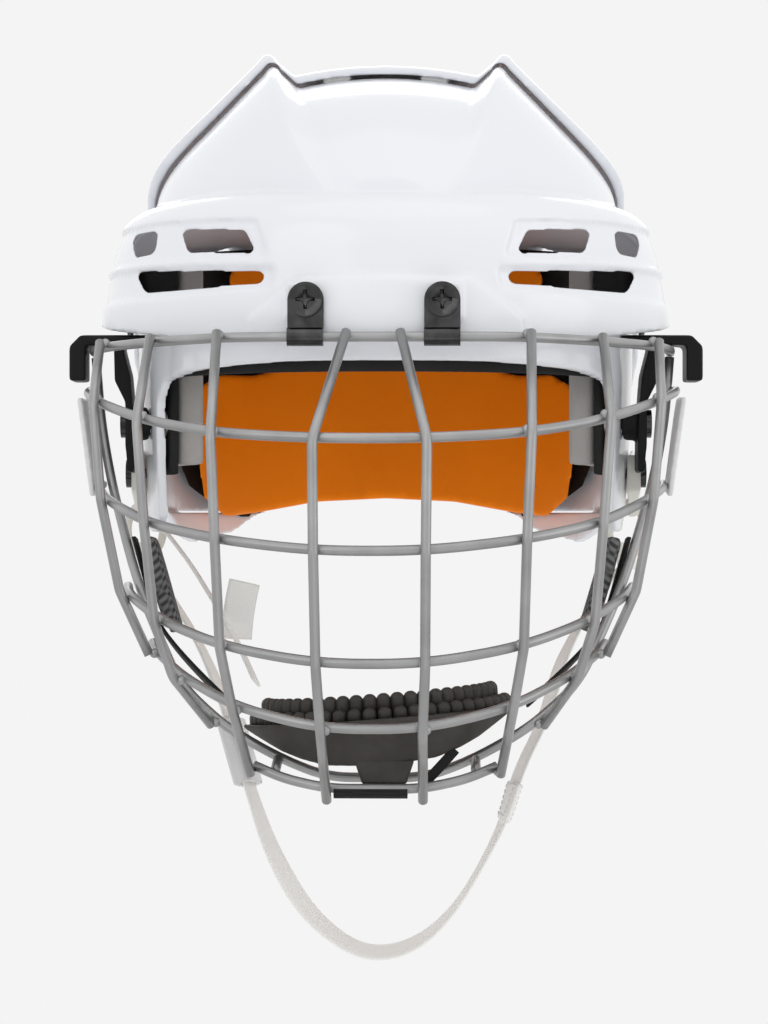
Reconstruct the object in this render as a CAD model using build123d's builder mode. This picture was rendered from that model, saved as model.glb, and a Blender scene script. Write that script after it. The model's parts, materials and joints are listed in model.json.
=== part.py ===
from build123d import *
import os
from math import cos, pi, radians, sin, tan

# Ice hockey helmet with a wire face cage, in millimetres.
# +X is the wearer's left, -Y the front, +Z up.
# The origin is the middle of the head opening at the height of ears and eyes.

os.makedirs("parts", exist_ok=True)

# Shells
shell_wall = 3.5
overlap_gap = 0.8
tongue_step = 3.0
tongue_lap = 3.0
fin_spacing = 90.0
fin_tip_width = 6.0
fin_tip_drop = 2.4
valley_spacing = 70.0
valley_drop = 8.6
centre_drop = 4.6
dome_rise = 7.0
dome_share = 1 / 3
crown_shoulder_shares = (0.955, 0.74)
crown_cheek_shares = (0.775, 0.425)
crown_width = 184.0
crown_top = 180.3
crown_back = 134.0
crown_side_drop = 62.0
brow_width = 225.6
brow_reach = 125.0
brow_low = 50.0
brow_high = 120.0
brow_end = 8.0
brow_edge_low = 62.0
brow_edge_tilt = 6.0
skirt_width = 198.0
skirt_reach = 118.0
skirt_low = -20.0
skirt_high = 96.0
rear_width = 205.0
rear_reach = 140.0
rear_low = -26.0
rear_high = 122.0
plan_roundness = 2.2
over = 60.0

# Reach, height, width and ridge at each station from the front of the crown to its back,
# as shares of crown_back, crown_top, half of crown_width, and of the full fin
crown_station_shares = (
    (-0.836, 0.640, 0.42, 0.06),
    (-0.746, 0.730, 0.65, 0.1),
    (-0.610, 0.830, 0.83, 0.4),
    (-0.410, 0.922, 0.94, 0.85),
    (-0.209, 0.967, 0.982, 1.0),
    (0.075, 0.997, 1.0, 1.0),
    (0.300, 0.992, 0.99, 1.0),
    (0.560, 0.922, 0.89, 0.85),
    (0.746, 0.816, 0.73, 0.7),
    (0.910, 0.672, 0.50, 0.5),
    (1.0, 0.545, 0.27, 0.3),
)
# Height, width and length at each level of a belt, from its low edge to its top
brow_level_shares = (
    (0.0, 0.975, 0.98),
    (0.20, 0.995, 0.995),
    (0.40, 1.0, 1.0),
    (0.68, 0.972, 0.994),
    (0.82, 0.945, 0.978),
    (0.93, 0.885, 0.92),
    (1.0, 0.78, 0.82),
)
skirt_level_shares = ((0.0, 0.96, 0.97), (0.5, 0.985, 0.99), (1.0, 1.0, 1.0))
rear_level_shares = (
    (0.0, 0.90, 0.83),
    (0.22, 0.95, 0.91),
    (0.45, 0.985, 0.97),
    (0.66, 1.0, 1.0),
    (0.82, 0.992, 0.98),
    (0.93, 0.955, 0.92),
    (1.0, 0.88, 0.83),
)


def egg_points(half_width, half_front, half_back):
    """The plan curve of a helmet: a rounded box, a little longer behind than in front."""
    count = 20
    points = []
    for step in range(count):
        angle = 2 * pi * step / count
        across = abs(cos(angle)) ** (2 / plan_roundness)
        along = abs(sin(angle)) ** (2 / plan_roundness)
        reach = half_back if sin(angle) > 0 else half_front
        x = half_width * across * (1 if cos(angle) >= 0 else -1)
        y = reach * along * (1 if sin(angle) >= 0 else -1)
        points.append((x, y))
    return points


def belt_form(level_shares, low, high, width, front, back, grow, mode=Mode.ADD):
    """A closed belt of the helmet, lofted through its levels and made larger by grow."""
    sections = []
    for height_share, width_share, reach_share in level_shares:
        height = (low - grow) + height_share * (high - low + 2 * grow)
        with BuildSketch(Plane.XY.offset(height)) as plan:
            with BuildLine():
                half = width / 2 * width_share + grow
                Spline(*egg_points(half, front * reach_share + grow, back * reach_share + grow),
                       periodic=True)
            make_face()
        sections.append(plan.sketch)
    return loft(sections=sections, mode=mode)


def brow_form(grow, mode=Mode.ADD):
    return belt_form(brow_level_shares, brow_low, brow_high, brow_width, brow_reach,
                     brow_reach, grow, mode)


def skirt_form(grow, mode=Mode.ADD):
    return belt_form(skirt_level_shares, skirt_low, skirt_high, skirt_width, skirt_reach,
                     skirt_reach, grow, mode)


def rear_form(grow, mode=Mode.ADD):
    return belt_form(rear_level_shares, rear_low, rear_high, rear_width, rear_reach,
                     rear_reach, grow, mode)


def crown_section(reach, fin_top, half, ridge):
    """One cross-section of the crown, with its two fins."""
    narrow = half / (crown_width / 2)
    fin = fin_spacing / 2 * narrow
    tip = fin_tip_width / 2 * narrow
    valley = valley_spacing / 2 * narrow
    flat = dome_rise * (1 - ridge)
    tip_low = fin_top - fin_tip_drop * ridge
    valley_top = fin_top - valley_drop * ridge + flat * dome_share
    centre_top = fin_top - centre_drop * ridge + flat
    side_top = fin_top - crown_side_drop
    shoulder, cheek = [(across_share * half, fin_top - drop_share * crown_side_drop)
                       for across_share, drop_share in (crown_shoulder_shares,
                                                        crown_cheek_shares)]
    with BuildSketch(Plane.XZ.offset(-reach)) as section:
        with BuildLine():
            Line((-half, 0), (-half, side_top))
            Spline((-half, side_top), (-shoulder[0], shoulder[1]), (-cheek[0], cheek[1]),
                   (-fin - tip, tip_low), tangents=((0, 1), (1, 1)))
            ThreePointArc((-fin - tip, tip_low), (-fin, fin_top), (-fin + tip, tip_low))
            Line((-fin + tip, tip_low), (-valley, valley_top))
            ThreePointArc((-valley, valley_top), (0, centre_top), (valley, valley_top))
            Line((valley, valley_top), (fin - tip, tip_low))
            ThreePointArc((fin - tip, tip_low), (fin, fin_top), (fin + tip, tip_low))
            Spline((fin + tip, tip_low), cheek, shoulder, (half, side_top),
                   tangents=((1, -1), (0, -1)))
            Line((half, side_top), (half, 0))
            Line((half, 0), (-half, 0))
        make_face()
    return section.sketch


def crown_form(grow, mode=Mode.ADD):
    """The crown, lofted from front to back and made larger by grow."""
    sections = []
    for reach_share, top_share, width_share, ridge in crown_station_shares:
        sections.append(crown_section(
            reach_share * (crown_back + grow),
            top_share * crown_top + grow,
            width_share * crown_width / 2 + grow,
            ridge,
        ))
    return loft(sections=sections, mode=mode)


def side_zone(outline):
    """A prism right across the helmet, drawn in side view as (reach, height) points."""
    with BuildSketch(Plane.YZ) as profile:
        with BuildLine():
            Polyline(*outline, close=True)
        make_face()
    return extrude(profile.sketch, amount=brow_width, both=True, mode=Mode.PRIVATE)


# Side view of the shells: the lines where they part, in real heights and reaches
parting = ((-28.0, 200.0), (-28.0, 166.0), (-14.0, 138.0), (8.0, 119.0), (8.0, 60.0))
ear_front_outline = (
    (8.0, 58.0), (-4.0, 50.0), (-16.0, 34.0), (-24.0, 12.0), (-30.0, 0.0), (-38.0, -8.0),
    (-50.0, -8.0), (-56.0, -2.0), (-57.0, 30.0), (-59.0, 42.0), (-66.0, 49.0), (-86.0, 52.0),
    (-112.0, 54.5),
)
tongue_outline = ((38.0, 58.0), (46.0, 66.0), (46.0, 112.0), (26.0, 130.0))
top_tongue_reach = 26.0
ear_rear_outline = (
    (10.0, 62.0), (22.0, 52.0), (29.0, 38.0), (33.0, 18.0), (38.0, 0.0), (48.0, -9.0),
    (62.0, -13.0), (88.0, -9.0), (110.0, 3.0), (124.0, 7.0),
)
parting_gap = 1.0

# Vents of the brow, seen from the front: (across, height) of each corner on the +X side
vent_upper_inner = ((51.4, 102.1), (75.2, 104.0), (72.7, 96.2), (47.9, 94.3))
vent_upper_outer = ((85.7, 105.0), (95.8, 105.3), (95.2, 97.0), (86.6, 97.2))
vent_lower = ((43.9, 86.4), (80.0, 88.5), (94.0, 90.2), (90.0, 82.8), (80.0, 82.3), (45.4, 83.2))
vent_end_reach = -42.0
recess_depth = 1.6
recess_upper = ((47.0, 106.5), (118.0, 109.5), (118.0, 94.0), (43.0, 92.3))
recess_lower = ((40.0, 88.6), (118.0, 92.4), (118.0, 80.5), (84.0, 79.5), (42.0, 80.8))
# Boss of the forehead, where the cage clips sit, and the vents of the rear shell
boss_rise = 1.4
boss_outline = ((-31.0, 84.0), (31.0, 84.0), (50.0, 70.0), (50.0, 50.0), (-50.0, 50.0),
                (-50.0, 70.0))
rear_vent_width = 9.0
rear_vent_length = 40.0
rear_vent_spacing = 38.0
rear_vent_reach = 62.0
rear_vent_floor = 120.0
side_vent_length = 36.0
side_vent_width = 9.0
side_vent_centre = (84.0, 104.0)
side_vent_turn = 24.0
rear_port_width = 52.0
rear_port_height = 8.0
rear_port_levels = (64.0, 80.0)

# Size adjustment: screws in the front shell's tongue run in slots of the rear shell
slide_travel = 15.0
slide_tilt = 4.0
size_screw_reach = 33.0
size_screw_heights = (78.0, 98.0)
size_screw_radius = 2.0
size_slot_radius = 2.6
size_head_radius = 5.5
size_head_height = 2.2
size_washer_radius = 7.0
size_washer_thickness = 1.0
size_nut_radius = 6.0
size_nut_thickness = 2.5
size_nut_shares = (0.9535, 0.9891)
side_nut_share = 0.9
loop_nut_share = 0.9374
seat_gap = 0.3

# Foam and pads
liner_thickness = 3.0
brow_liner_shares = (0.985, 0.985)
temple_liner_shares = (0.969, 0.975)
brow_strip_thickness = 3.0
brow_strip_heights = (51.0, 61.0)
brow_strip_reach = -57.5
forehead_pad_thickness = 11.0
forehead_pad_heights = (58.0, 98.0)
forehead_pad_reach = -74.0
forehead_pad_half = 42.0
temple_pad_thickness = 9.0
temple_pad_heights = (18.0, 94.0)
temple_pad_reaches = (-54.0, -18.0)
temple_liner_heights = (14.0, 98.0)
temple_block_half = 103.0
temple_block_low = 78.5
temple_liner_reaches = (-56.5, -14.0)
crown_pad_reaches = (-26.0, 22.0)
crown_pad_width = 58.0
crown_pad_thickness = 11.0
crown_pad_top = 162.6
crown_pad_sag = 3.4
crown_pad_tilt = 6.4
rear_crown_pad_reaches = (34.0, 86.0)
rear_crown_pad_top = 175.4
rear_crown_pad_tilt = -19.6
occipital_inner_reach = 104.0
occipital_inner_half = 84.0
occipital_thickness = 11.0
occipital_backing_outline = (
    (0.0, 116.0), (100.0, 116.0), (100.0, 64.0), (88.0, 58.0), (86.0, 20.0), (82.0, 8.6),
    (76.0, 1.0), (70.0, -2.0), (59.0, -2.0), (53.0, 8.0), (0.0, 12.0),
)
occipital_backing_reach = 48.0
occipital_backing_gap = 0.7
occipital_outline = (
    (0.0, 112.0), (46.0, 112.0), (63.0, 109.0), (67.0, 98.0), (60.0, 82.0), (50.0, 70.0),
    (48.0, 61.0), (56.0, 58.5), (70.0, 58.0), (78.0, 52.0),
    (79.0, 30.0), (76.0, 6.0), (68.0, -2.0), (54.0, 0.0), (30.0, 4.5), (0.0, 6.0),
)

# Cage: wires of one gauge, turned a little about the vertical as it is mounted
wire_radius = 1.8
weld_gap = 0.05
bar_gap = 0.2
bend_share = 0.45
bar_bend = 9.0
cage_yaw = -2.0
hinge_reach = -129.1
hinge_height = 62.6
bar_tip = 2.2
middle_bar_top = 10.0
brow_route = ((38.0, -129.1, 62.6), (54.7, -125.0, 62.6), (80.2, -106.0, 62.3),
              (101.5, -80.0, 61.9), (110.0, -58.0, 61.5), (110.8, -41.0, 61.3))
upper_route = ((19.2, -163.0, 25.6), (54.6, -152.0, 27.7), (82.4, -130.0, 33.0),
               (101.8, -100.0, 40.0), (111.0, -66.0, 45.0), (112.6, -46.0, 46.6))
middle_route = ((19.0, -165.0, -13.4), (53.4, -155.0, -9.6), (79.7, -132.0, -4.3),
                (98.5, -102.0, 4.0), (106.0, -72.0, 8.8), (107.3, -50.5, 10.6))
lower_route = ((18.6, -157.0, -52.8), (52.3, -147.0, -47.3), (76.8, -123.0, -39.1),
               (91.5, -95.0, -30.6), (94.9, -71.0, -28.0))
chin_route = ((17.5, -147.0, -76.2), (48.4, -137.0, -69.4), (69.8, -115.0, -59.6),
              (81.0, -94.0, -52.0), (84.3, -81.8, -48.8))
bottom_route = ((17.0, -118.0, -99.8), (33.0, -116.0, -96.4), (44.0, -112.5, -92.0))
frame_route = ((18.0, -99.0, -97.4), (36.0, -98.0, -90.4), (56.0, -95.0, -79.4),
               (74.0, -86.5, -64.0), (91.2, -70.0, -28.6), (103.9, -50.0, 11.5),
               (108.4, -46.5, 35.0), (110.4, -45.5, 59.4))
bottom_bar_end = (45.6, -115.4, -93.4)
cheek_bar_end = (62.2, -96.5, -77.2)
tie_ends = ((36.5, -114.9, -95.0), (36.2, -98.4, -90.2))

# Clips of the cage
clip_spacing = 49.0
clip_width = 13.0
clip_thickness = 1.4
clip_hook_gap = 0.15
clip_screw_height = 76.0
clip_top_radius = 6.5
cage_screw_head = 6.2
cage_screw_head_height = 2.6
cage_screw_radius = 2.4
cage_screw_length = 12.8
cage_nut_radius = 6.0
cage_nut_thickness = 3.0
cross_slot_width = 1.3
cross_slot_length = 7.0
cross_slot_depth = 1.2
side_clip_reaches = (-56.0, -38.5)
side_clip_root = 20.0
side_clip_inner = 99.6
side_clip_leg = 114.6
side_clip_outer = 121.0
side_clip_top = 67.6
side_clip_roof = 63.7
side_clip_leg_low = 50.0
side_clip_plate_low = 15.0
side_clip_bend = 4.5
side_boss_radius = 6.5
side_clip_leaf = ((104.0, 63.7), (103.6, 50.0), (99.6, 42.0), (99.6, 26.0), (98.6, 15.0),
                  (96.0, 15.0), (96.2, 34.0), (97.6, 52.0), (100.6, 63.7))
side_screw_height = 34.0
side_screw_reach = -46.0
side_plate_thickness = 2.0
side_plate_outline = ((-60.0, 44.0), (-26.0, 45.0), (-24.0, 38.0), (-33.0, 8.0), (-64.0, 6.0))

# Chin cup
cup_reach = -84.0
cup_half_width = 58.0
cup_tilt = 4.5
cup_depth = 44.0
cup_top = -63.0
cup_low = -92.0
cup_wall = 3.0
cup_tuck = 12.0
cup_shell_top = -74.5
cup_outline = ((0.0, -92.0), (20.0, -90.5), (29.0, -87.6), (36.0, -84.4), (49.0, -76.2),
               (57.0, -71.0), (64.0, -62.0), (64.0, -50.0), (0.0, -50.0))
cup_pad_width = 11.0
cup_pad_heights = (-86.0, -75.0)
cup_rib_low = -77.0
cup_rib_tops = (-71.0, -66.3)
cup_rib_radius = 2.7
cup_rib_count = 26
cup_strap_width = 26.6
cup_strap_centre = -1.5
cup_riser_width = 15.0
cup_riser_centre = 3.3
cup_strap_thickness = 1.6
cheek_strap_route = ((94.0, -57.6, -10.0), (88.5, -60.0, -30.0), (82.0, -64.0, -49.0),
                     (56.8, -83.5, -70.0))
cheek_strap_width = 12.0
cheek_pad_inset = 5.6
cheek_pad_end_share = 0.75
cheek_pad_width = 17.0
cheek_pad_thickness = 6.0

# Ear loops and chin strap
loop_thickness = 3.0
loop_radius_wide = 8.6
loop_radius_tall = 12.0
loop_rim = 3.2
loop_centre = (95.3, -12.0, -7.0)
loop_tab_outline = ((-37.5, 8.0), (-37.5, 22.0), (-24.0, 24.0), (-13.0, 14.0), (-8.0, 4.0),
                    (-14.0, -2.0), (-22.0, 2.0))
loop_tab_outer = 98.8
loop_tab_root = 10.0
loop_screw_reach = -31.0
loop_screw_height = 15.0
strap_width = 15.0
strap_thickness = 1.5
web_bend = 26.0
slider_run = 2
keeper_run = 8
strap_route = (
    (-94.0, -12.0, -20.6), (-73.0, -37.0, -47.0), (-59.5, -58.0, -78.0), (-51.8, -64.0, -104.0),
    (-42.5, -65.0, -131.0), (-27.0, -64.0, -156.0), (-4.0, -63.0, -170.0), (21.5, -64.0, -158.5),
    (43.5, -65.0, -121.0), (50.0, -63.5, -98.0), (61.0, -56.0, -78.0), (70.5, -37.0, -47.0),
    (94.0, -12.0, -20.6),
)
buckle_size = (20.0, 7.0, 26.0)
buckle_slot = (16.0, 3.2)
buckle_round_share = 1 / 3
keeper_size = (19.0, 6.0, 14.0)
branch_route = ((-87.9, -33.0, -5.0), (-78.0, -31.0, -17.0), (-66.0, -37.0, -36.0),
                (-57.0, -43.0, -50.0), (-50.0, -51.0, -65.0))
tail_route = ((-57.4, -50.2, -49.0), (-57.6, -48.2, -42.0), (-54.8, -46.5, -27.0))
tail_width = 12.0
tail_thickness = 1.3


def front_prism(outline, near, far):
    """A prism along Y between two reaches, drawn in front view as (across, height) points."""
    with BuildSketch(Plane.XZ.offset(-near)) as profile:
        with BuildLine():
            Polyline(*outline, close=True)
        make_face()
    return extrude(profile.sketch, amount=near - far, mode=Mode.PRIVATE)


def mirrored(outline):
    """The same outline on the -X side."""
    return tuple((-across, height) for across, height in outline)


def egg_band(half, front, back, thickness, low, high):
    """A band of even thickness inside an egg-shaped plan, from one height to another."""
    with BuildSketch(Plane.XY.offset(low)) as band:
        with BuildLine():
            Spline(*egg_points(half, front, back), periodic=True)
        make_face()
        with BuildLine():
            Spline(*egg_points(half - thickness, front - thickness, back - thickness),
                   periodic=True)
        make_face(mode=Mode.SUBTRACT)
    return extrude(band.sketch, amount=high - low)


# Zones that part the shells in side view
upper = crown_top + over
front_outline = ((parting[0][0], upper),) + parting + ear_front_outline + (
    (-brow_reach - over, ear_front_outline[-1][1]), (-brow_reach - over, upper))
lap_edge = tuple((reach - tongue_lap, height) for reach, height in parting)
tongue_zone_outline = ((lap_edge[0][0], upper),) + lap_edge + tongue_outline + (
    (top_tongue_reach, upper),)
rear_edge = tuple((reach + parting_gap, height) for reach, height in parting)
rear_outline = ((rear_edge[0][0], upper),) + rear_edge[:-1] + ear_rear_outline + (
    (rear_reach + over, ear_rear_outline[-1][1]), (rear_reach + over, upper))

# Brow belt: it overhangs the skirt, with a low edge that rises towards the ears
brow_edge = Plane(origin=(0, -skirt_reach, brow_edge_low), x_dir=(1, 0, 0),
                  z_dir=(0, -sin(radians(brow_edge_tilt)), cos(radians(brow_edge_tilt))))
with BuildPart() as brow_zone:
    with BuildSketch(brow_edge):
        Rectangle(brow_width + over, 2 * (skirt_reach + brow_end + over))
    extrude(amount=brow_width)
    with BuildSketch(Plane.XZ.offset(-brow_end)):
        Rectangle(2 * brow_width, 2 * upper)
    extrude(amount=-brow_width, mode=Mode.SUBTRACT)

with BuildPart() as brow_belt:
    brow_form(0)
    add(brow_zone.part, mode=Mode.INTERSECT)

with BuildPart() as brow_boss:
    brow_form(boss_rise)
    add(brow_zone.part, mode=Mode.INTERSECT)
    add(front_prism(boss_outline, -brow_reach - over, 0), mode=Mode.INTERSECT)

with BuildPart() as brow_core:
    brow_form(-shell_wall)
    add(brow_zone.part.moved(Location((0, -shell_wall, shell_wall))), mode=Mode.INTERSECT)

with BuildPart() as vent_recess:
    for outline in (recess_upper, recess_lower, mirrored(recess_upper), mirrored(recess_lower)):
        add(front_prism(outline, -brow_reach - over, 0))
    brow_form(-recess_depth, mode=Mode.SUBTRACT)

# Front shell: brow belt, skirt, crown, and the tongue that the rear shell slides over
with BuildPart() as front_tongue:
    crown_form(-tongue_step)
    skirt_form(-tongue_step)
    add(side_zone(tongue_zone_outline), mode=Mode.INTERSECT)
    crown_form(-tongue_step - shell_wall, mode=Mode.SUBTRACT)
    skirt_form(-tongue_step - shell_wall, mode=Mode.SUBTRACT)

with BuildPart() as front_shell:
    crown_form(0)
    skirt_form(0)
    add(side_zone(front_outline), mode=Mode.INTERSECT)
    add(brow_belt.part)
    add(brow_boss.part)
    crown_form(-shell_wall, mode=Mode.SUBTRACT)
    skirt_form(-shell_wall, mode=Mode.SUBTRACT)
    add(brow_core.part, mode=Mode.SUBTRACT)
    add(vent_recess.part, mode=Mode.SUBTRACT)
    for outline in (vent_upper_inner, vent_upper_outer, vent_lower):
        add(front_prism(outline, -brow_reach - over, vent_end_reach), mode=Mode.SUBTRACT)
        add(front_prism(mirrored(outline), -brow_reach - over, vent_end_reach),
            mode=Mode.SUBTRACT)
    add(front_tongue.part)

# Rear shell, with its crown vents and its low ports
with BuildPart() as rear_shell:
    crown_form(overlap_gap + shell_wall)
    rear_form(0)
    add(side_zone(rear_outline), mode=Mode.INTERSECT)
    crown_form(overlap_gap, mode=Mode.SUBTRACT)
    rear_form(-shell_wall, mode=Mode.SUBTRACT)
    with BuildSketch(Plane.XY.offset(upper)):
        with GridLocations(rear_vent_spacing, 0, 2, 1):
            with Locations((0, rear_vent_reach)):
                SlotOverall(rear_vent_length, rear_vent_width, rotation=90)
    extrude(amount=rear_vent_floor - upper, mode=Mode.SUBTRACT)
    with BuildSketch(Plane.YZ):
        with Locations(side_vent_centre):
            SlotOverall(side_vent_length, side_vent_width, rotation=side_vent_turn)
    extrude(amount=rear_width, both=True, mode=Mode.SUBTRACT)
    with BuildSketch(Plane.XZ):
        for level in rear_port_levels:
            with Locations((0, level)):
                SlotOverall(rear_port_width, rear_port_height)
    extrude(amount=-rear_reach - over, mode=Mode.SUBTRACT)
    with BuildSketch(Plane.YZ):
        for height in size_screw_heights:
            with Locations((size_screw_reach - slide_travel / 2 * cos(radians(slide_tilt)),
                            height - slide_travel / 2 * sin(radians(slide_tilt)))):
                SlotCenterToCenter(slide_travel, 2 * size_slot_radius, rotation=slide_tilt)
    extrude(amount=rear_width, both=True, mode=Mode.SUBTRACT)
rear_shell.part.label = "rear_shell"
export_step(rear_shell.part, "parts/rear_shell.step")


def side_spots(reach, heights):
    """Places on both sides of the helmet, each with its axis pointing out."""
    spots = []
    for height in heights:
        for side in (1, -1):
            spots.append(Plane(origin=(0, reach, height), x_dir=(0, 1, 0), z_dir=(side, 0, 0)))
    return spots


# Size adjustment hardware, held in the tongue
size_washer_seat = rear_width / 2 + seat_gap
size_nut_seats = [share * width / 2 - tongue_step - shell_wall - seat_gap
                  for share, width in zip(size_nut_shares, (skirt_width, crown_width))]
size_places = [(spot, seat) for height, seat in zip(size_screw_heights, size_nut_seats)
               for spot in side_spots(size_screw_reach, (height,))]
with BuildPart() as size_screws:
    for spot, seat in size_places:
        with BuildSketch(spot.offset(seat - size_nut_thickness)):
            Circle(size_screw_radius)
        extrude(amount=size_washer_seat + size_washer_thickness + weld_gap - seat
                + size_nut_thickness)
        with BuildSketch(spot.offset(size_washer_seat + size_washer_thickness + weld_gap)):
            Circle(size_head_radius)
        extrude(amount=size_head_height)
        with BuildSketch(spot.offset(size_washer_seat + size_washer_thickness
                                     + size_head_height)):
            Rectangle(cross_slot_length, cross_slot_width)
            Rectangle(cross_slot_width, cross_slot_length)
        extrude(amount=-size_head_height / 2, mode=Mode.SUBTRACT)
size_screws.part.label = "size_screws"
export_step(size_screws.part, "parts/size_screws.step")

with BuildPart() as size_washers:
    for spot in side_spots(size_screw_reach, size_screw_heights):
        with BuildSketch(spot.offset(size_washer_seat)):
            Circle(size_washer_radius)
            Circle(size_screw_radius + weld_gap, mode=Mode.SUBTRACT)
        extrude(amount=size_washer_thickness)
size_washers.part.label = "size_washers"
export_step(size_washers.part, "parts/size_washers.step")

with BuildPart() as size_nuts:
    for spot, seat in size_places:
        with BuildSketch(spot.offset(seat - size_nut_thickness)):
            RegularPolygon(size_nut_radius, 6)
            Circle(size_screw_radius + weld_gap, mode=Mode.SUBTRACT)
        extrude(amount=size_nut_thickness)
size_nuts.part.label = "size_nuts"
export_step(size_nuts.part, "parts/size_nuts.step")

# Cage frame: everything on the cage is drawn here and turned with it
cage = Plane.XY.rotated((0, 0, cage_yaw))
clip_plate_back = hinge_reach + wire_radius + clip_hook_gap + clip_thickness


def cage_plane(origin, x_dir, z_dir):
    """A plane of the cage, given before the cage is turned."""
    turned = [cage.from_local_coords(Vector(*vector)) for vector in (origin, x_dir, z_dir)]
    return Plane(origin=turned[0], x_dir=turned[1], z_dir=turned[2])


def clip_spots(reach):
    """The two places of the forehead clips, with the axis pointing forward."""
    return [cage_plane((side * clip_spacing / 2, reach, clip_screw_height), (1, 0, 0), (0, -1, 0))
            for side in (-1, 1)]


with BuildPart() as clip_seats:
    for spot in clip_spots(clip_plate_back + seat_gap):
        with BuildSketch(spot):
            Rectangle(clip_width + clip_thickness, 2 * clip_top_radius)
        extrude(amount=-shell_wall)

with BuildPart() as finished_front:
    add(front_shell.part)
    add(clip_seats.part)
    for spot in clip_spots(clip_plate_back):
        with BuildSketch(spot):
            Circle(cage_screw_radius + seat_gap)
        extrude(amount=-cage_screw_length, mode=Mode.SUBTRACT)
    with BuildSketch(Plane.YZ):
        for height in size_screw_heights:
            with Locations((size_screw_reach, height)):
                Circle(size_screw_radius + seat_gap)
    extrude(amount=skirt_width, both=True, mode=Mode.SUBTRACT)
    for reach, height in ((side_screw_reach, side_screw_height),
                          (loop_screw_reach, loop_screw_height)):
        with BuildSketch(Plane.YZ):
            with Locations((reach, height)):
                Circle(size_screw_radius + seat_gap)
        extrude(amount=skirt_width, both=True, mode=Mode.SUBTRACT)
finished_front.part.label = "front_shell"
export_step(finished_front.part, "parts/front_shell.step")


# Foam and pads of the front shell
liner_half, low_half = [shares[0] * skirt_width / 2 - shell_wall - seat_gap
                        for shares in (brow_liner_shares, temple_liner_shares)]
liner_reach, low_reach = [shares[1] * skirt_reach - shell_wall - seat_gap
                          for shares in (brow_liner_shares, temple_liner_shares)]
nut_places = [(side_screw_reach, side_screw_height, side_nut_share),
              (loop_screw_reach, loop_screw_height, loop_nut_share)]
nut_places = [(reach, height, share * skirt_width / 2 - shell_wall - seat_gap)
              for reach, height, share in nut_places]


def reach_box(near, far, side=0):
    """A block between two reaches, over the whole width or on one side only."""
    block = Box(brow_width, far - near, 4 * upper, mode=Mode.PRIVATE)
    return block.moved(Location((side * brow_width / 2, (near + far) / 2, 0)))


def nut_pockets(side):
    """Room for the nuts of one side, cut from the foam that lies over them."""
    for reach, height, seat in nut_places:
        spot = Plane(origin=(0, reach, height), x_dir=(0, 1, 0), z_dir=(side, 0, 0))
        with BuildSketch(spot.offset(seat - size_nut_thickness - seat_gap)) as pocket:
            Circle(size_nut_radius + seat_gap)
        extrude(pocket.sketch, amount=skirt_width / 2, mode=Mode.SUBTRACT)


with BuildPart() as brow_liner:
    egg_band(liner_half, liner_reach, liner_reach, brow_strip_thickness, *brow_strip_heights)
    add(reach_box(-brow_reach, brow_strip_reach), mode=Mode.INTERSECT)
brow_liner.part.label = "brow_liner"
export_step(brow_liner.part, "parts/brow_liner.step")

with BuildPart() as forehead_pad:
    inset = brow_strip_thickness + seat_gap
    egg_band(liner_half - inset, liner_reach - inset, liner_reach - inset,
             forehead_pad_thickness, *forehead_pad_heights)
    add(Box(2 * forehead_pad_half, 2 * brow_reach, 4 * upper, mode=Mode.PRIVATE)
        & reach_box(-brow_reach, forehead_pad_reach), mode=Mode.INTERSECT)
forehead_pad.part.label = "forehead_pad"
export_step(forehead_pad.part, "parts/forehead_pad.step")

for name, side in (("left", 1), ("right", -1)):
    with BuildPart() as temple_liner:
        egg_band(low_half, low_reach, low_reach, liner_thickness, *temple_liner_heights)
        with BuildSketch(Plane.XY.offset(temple_block_low)):
            with BuildLine():
                Spline(*egg_points(temple_block_half, low_reach, low_reach), periodic=True)
            make_face()
            with BuildLine():
                Spline(*egg_points(low_half - liner_thickness, low_reach - liner_thickness,
                                   low_reach - liner_thickness), periodic=True)
            make_face(mode=Mode.SUBTRACT)
        extrude(amount=temple_liner_heights[1] - temple_block_low)
        add(reach_box(*temple_liner_reaches, side), mode=Mode.INTERSECT)
        nut_pockets(side)
    temple_liner.part.label = "temple_liner_" + name
    export_step(temple_liner.part, "parts/temple_liner_" + name + ".step")
    with BuildPart() as temple_pad:
        inset = liner_thickness + 2 * seat_gap
        egg_band(low_half - inset, low_reach - inset, low_reach - inset,
                 temple_pad_thickness, *temple_pad_heights)
        add(reach_box(*temple_pad_reaches, side), mode=Mode.INTERSECT)
        nut_pockets(side)
    temple_pad.part.label = "temple_pad_" + name
    export_step(temple_pad.part, "parts/temple_pad_" + name + ".step")


def crown_slab(reaches, top, tilt):
    """An arched foam slab that lies along the crown."""
    half = crown_pad_width / 2
    end = Plane(origin=(0, reaches[0], top), x_dir=(1, 0, 0),
                z_dir=(0, -cos(radians(tilt)), -sin(radians(tilt))))
    with BuildSketch(end) as slab:
        with BuildLine():
            ThreePointArc((-half, -crown_pad_sag), (0, 0), (half, -crown_pad_sag))
            Line((half, -crown_pad_sag), (half, -crown_pad_sag - crown_pad_thickness))
            ThreePointArc((half, -crown_pad_sag - crown_pad_thickness),
                          (0, -crown_pad_thickness),
                          (-half, -crown_pad_sag - crown_pad_thickness))
            Line((-half, -crown_pad_sag - crown_pad_thickness), (-half, -crown_pad_sag))
        make_face()
    return extrude(slab.sketch, amount=(reaches[0] - reaches[1]) / cos(radians(tilt)))


with BuildPart() as crown_pad:
    crown_slab(crown_pad_reaches, crown_pad_top, crown_pad_tilt)
crown_pad.part.label = "crown_pad"
export_step(crown_pad.part, "parts/crown_pad.step")

with BuildPart() as rear_crown_pad:
    crown_slab(rear_crown_pad_reaches, rear_crown_pad_top, rear_crown_pad_tilt)
rear_crown_pad.part.label = "rear_crown_pad"
export_step(rear_crown_pad.part, "parts/rear_crown_pad.step")

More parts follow.
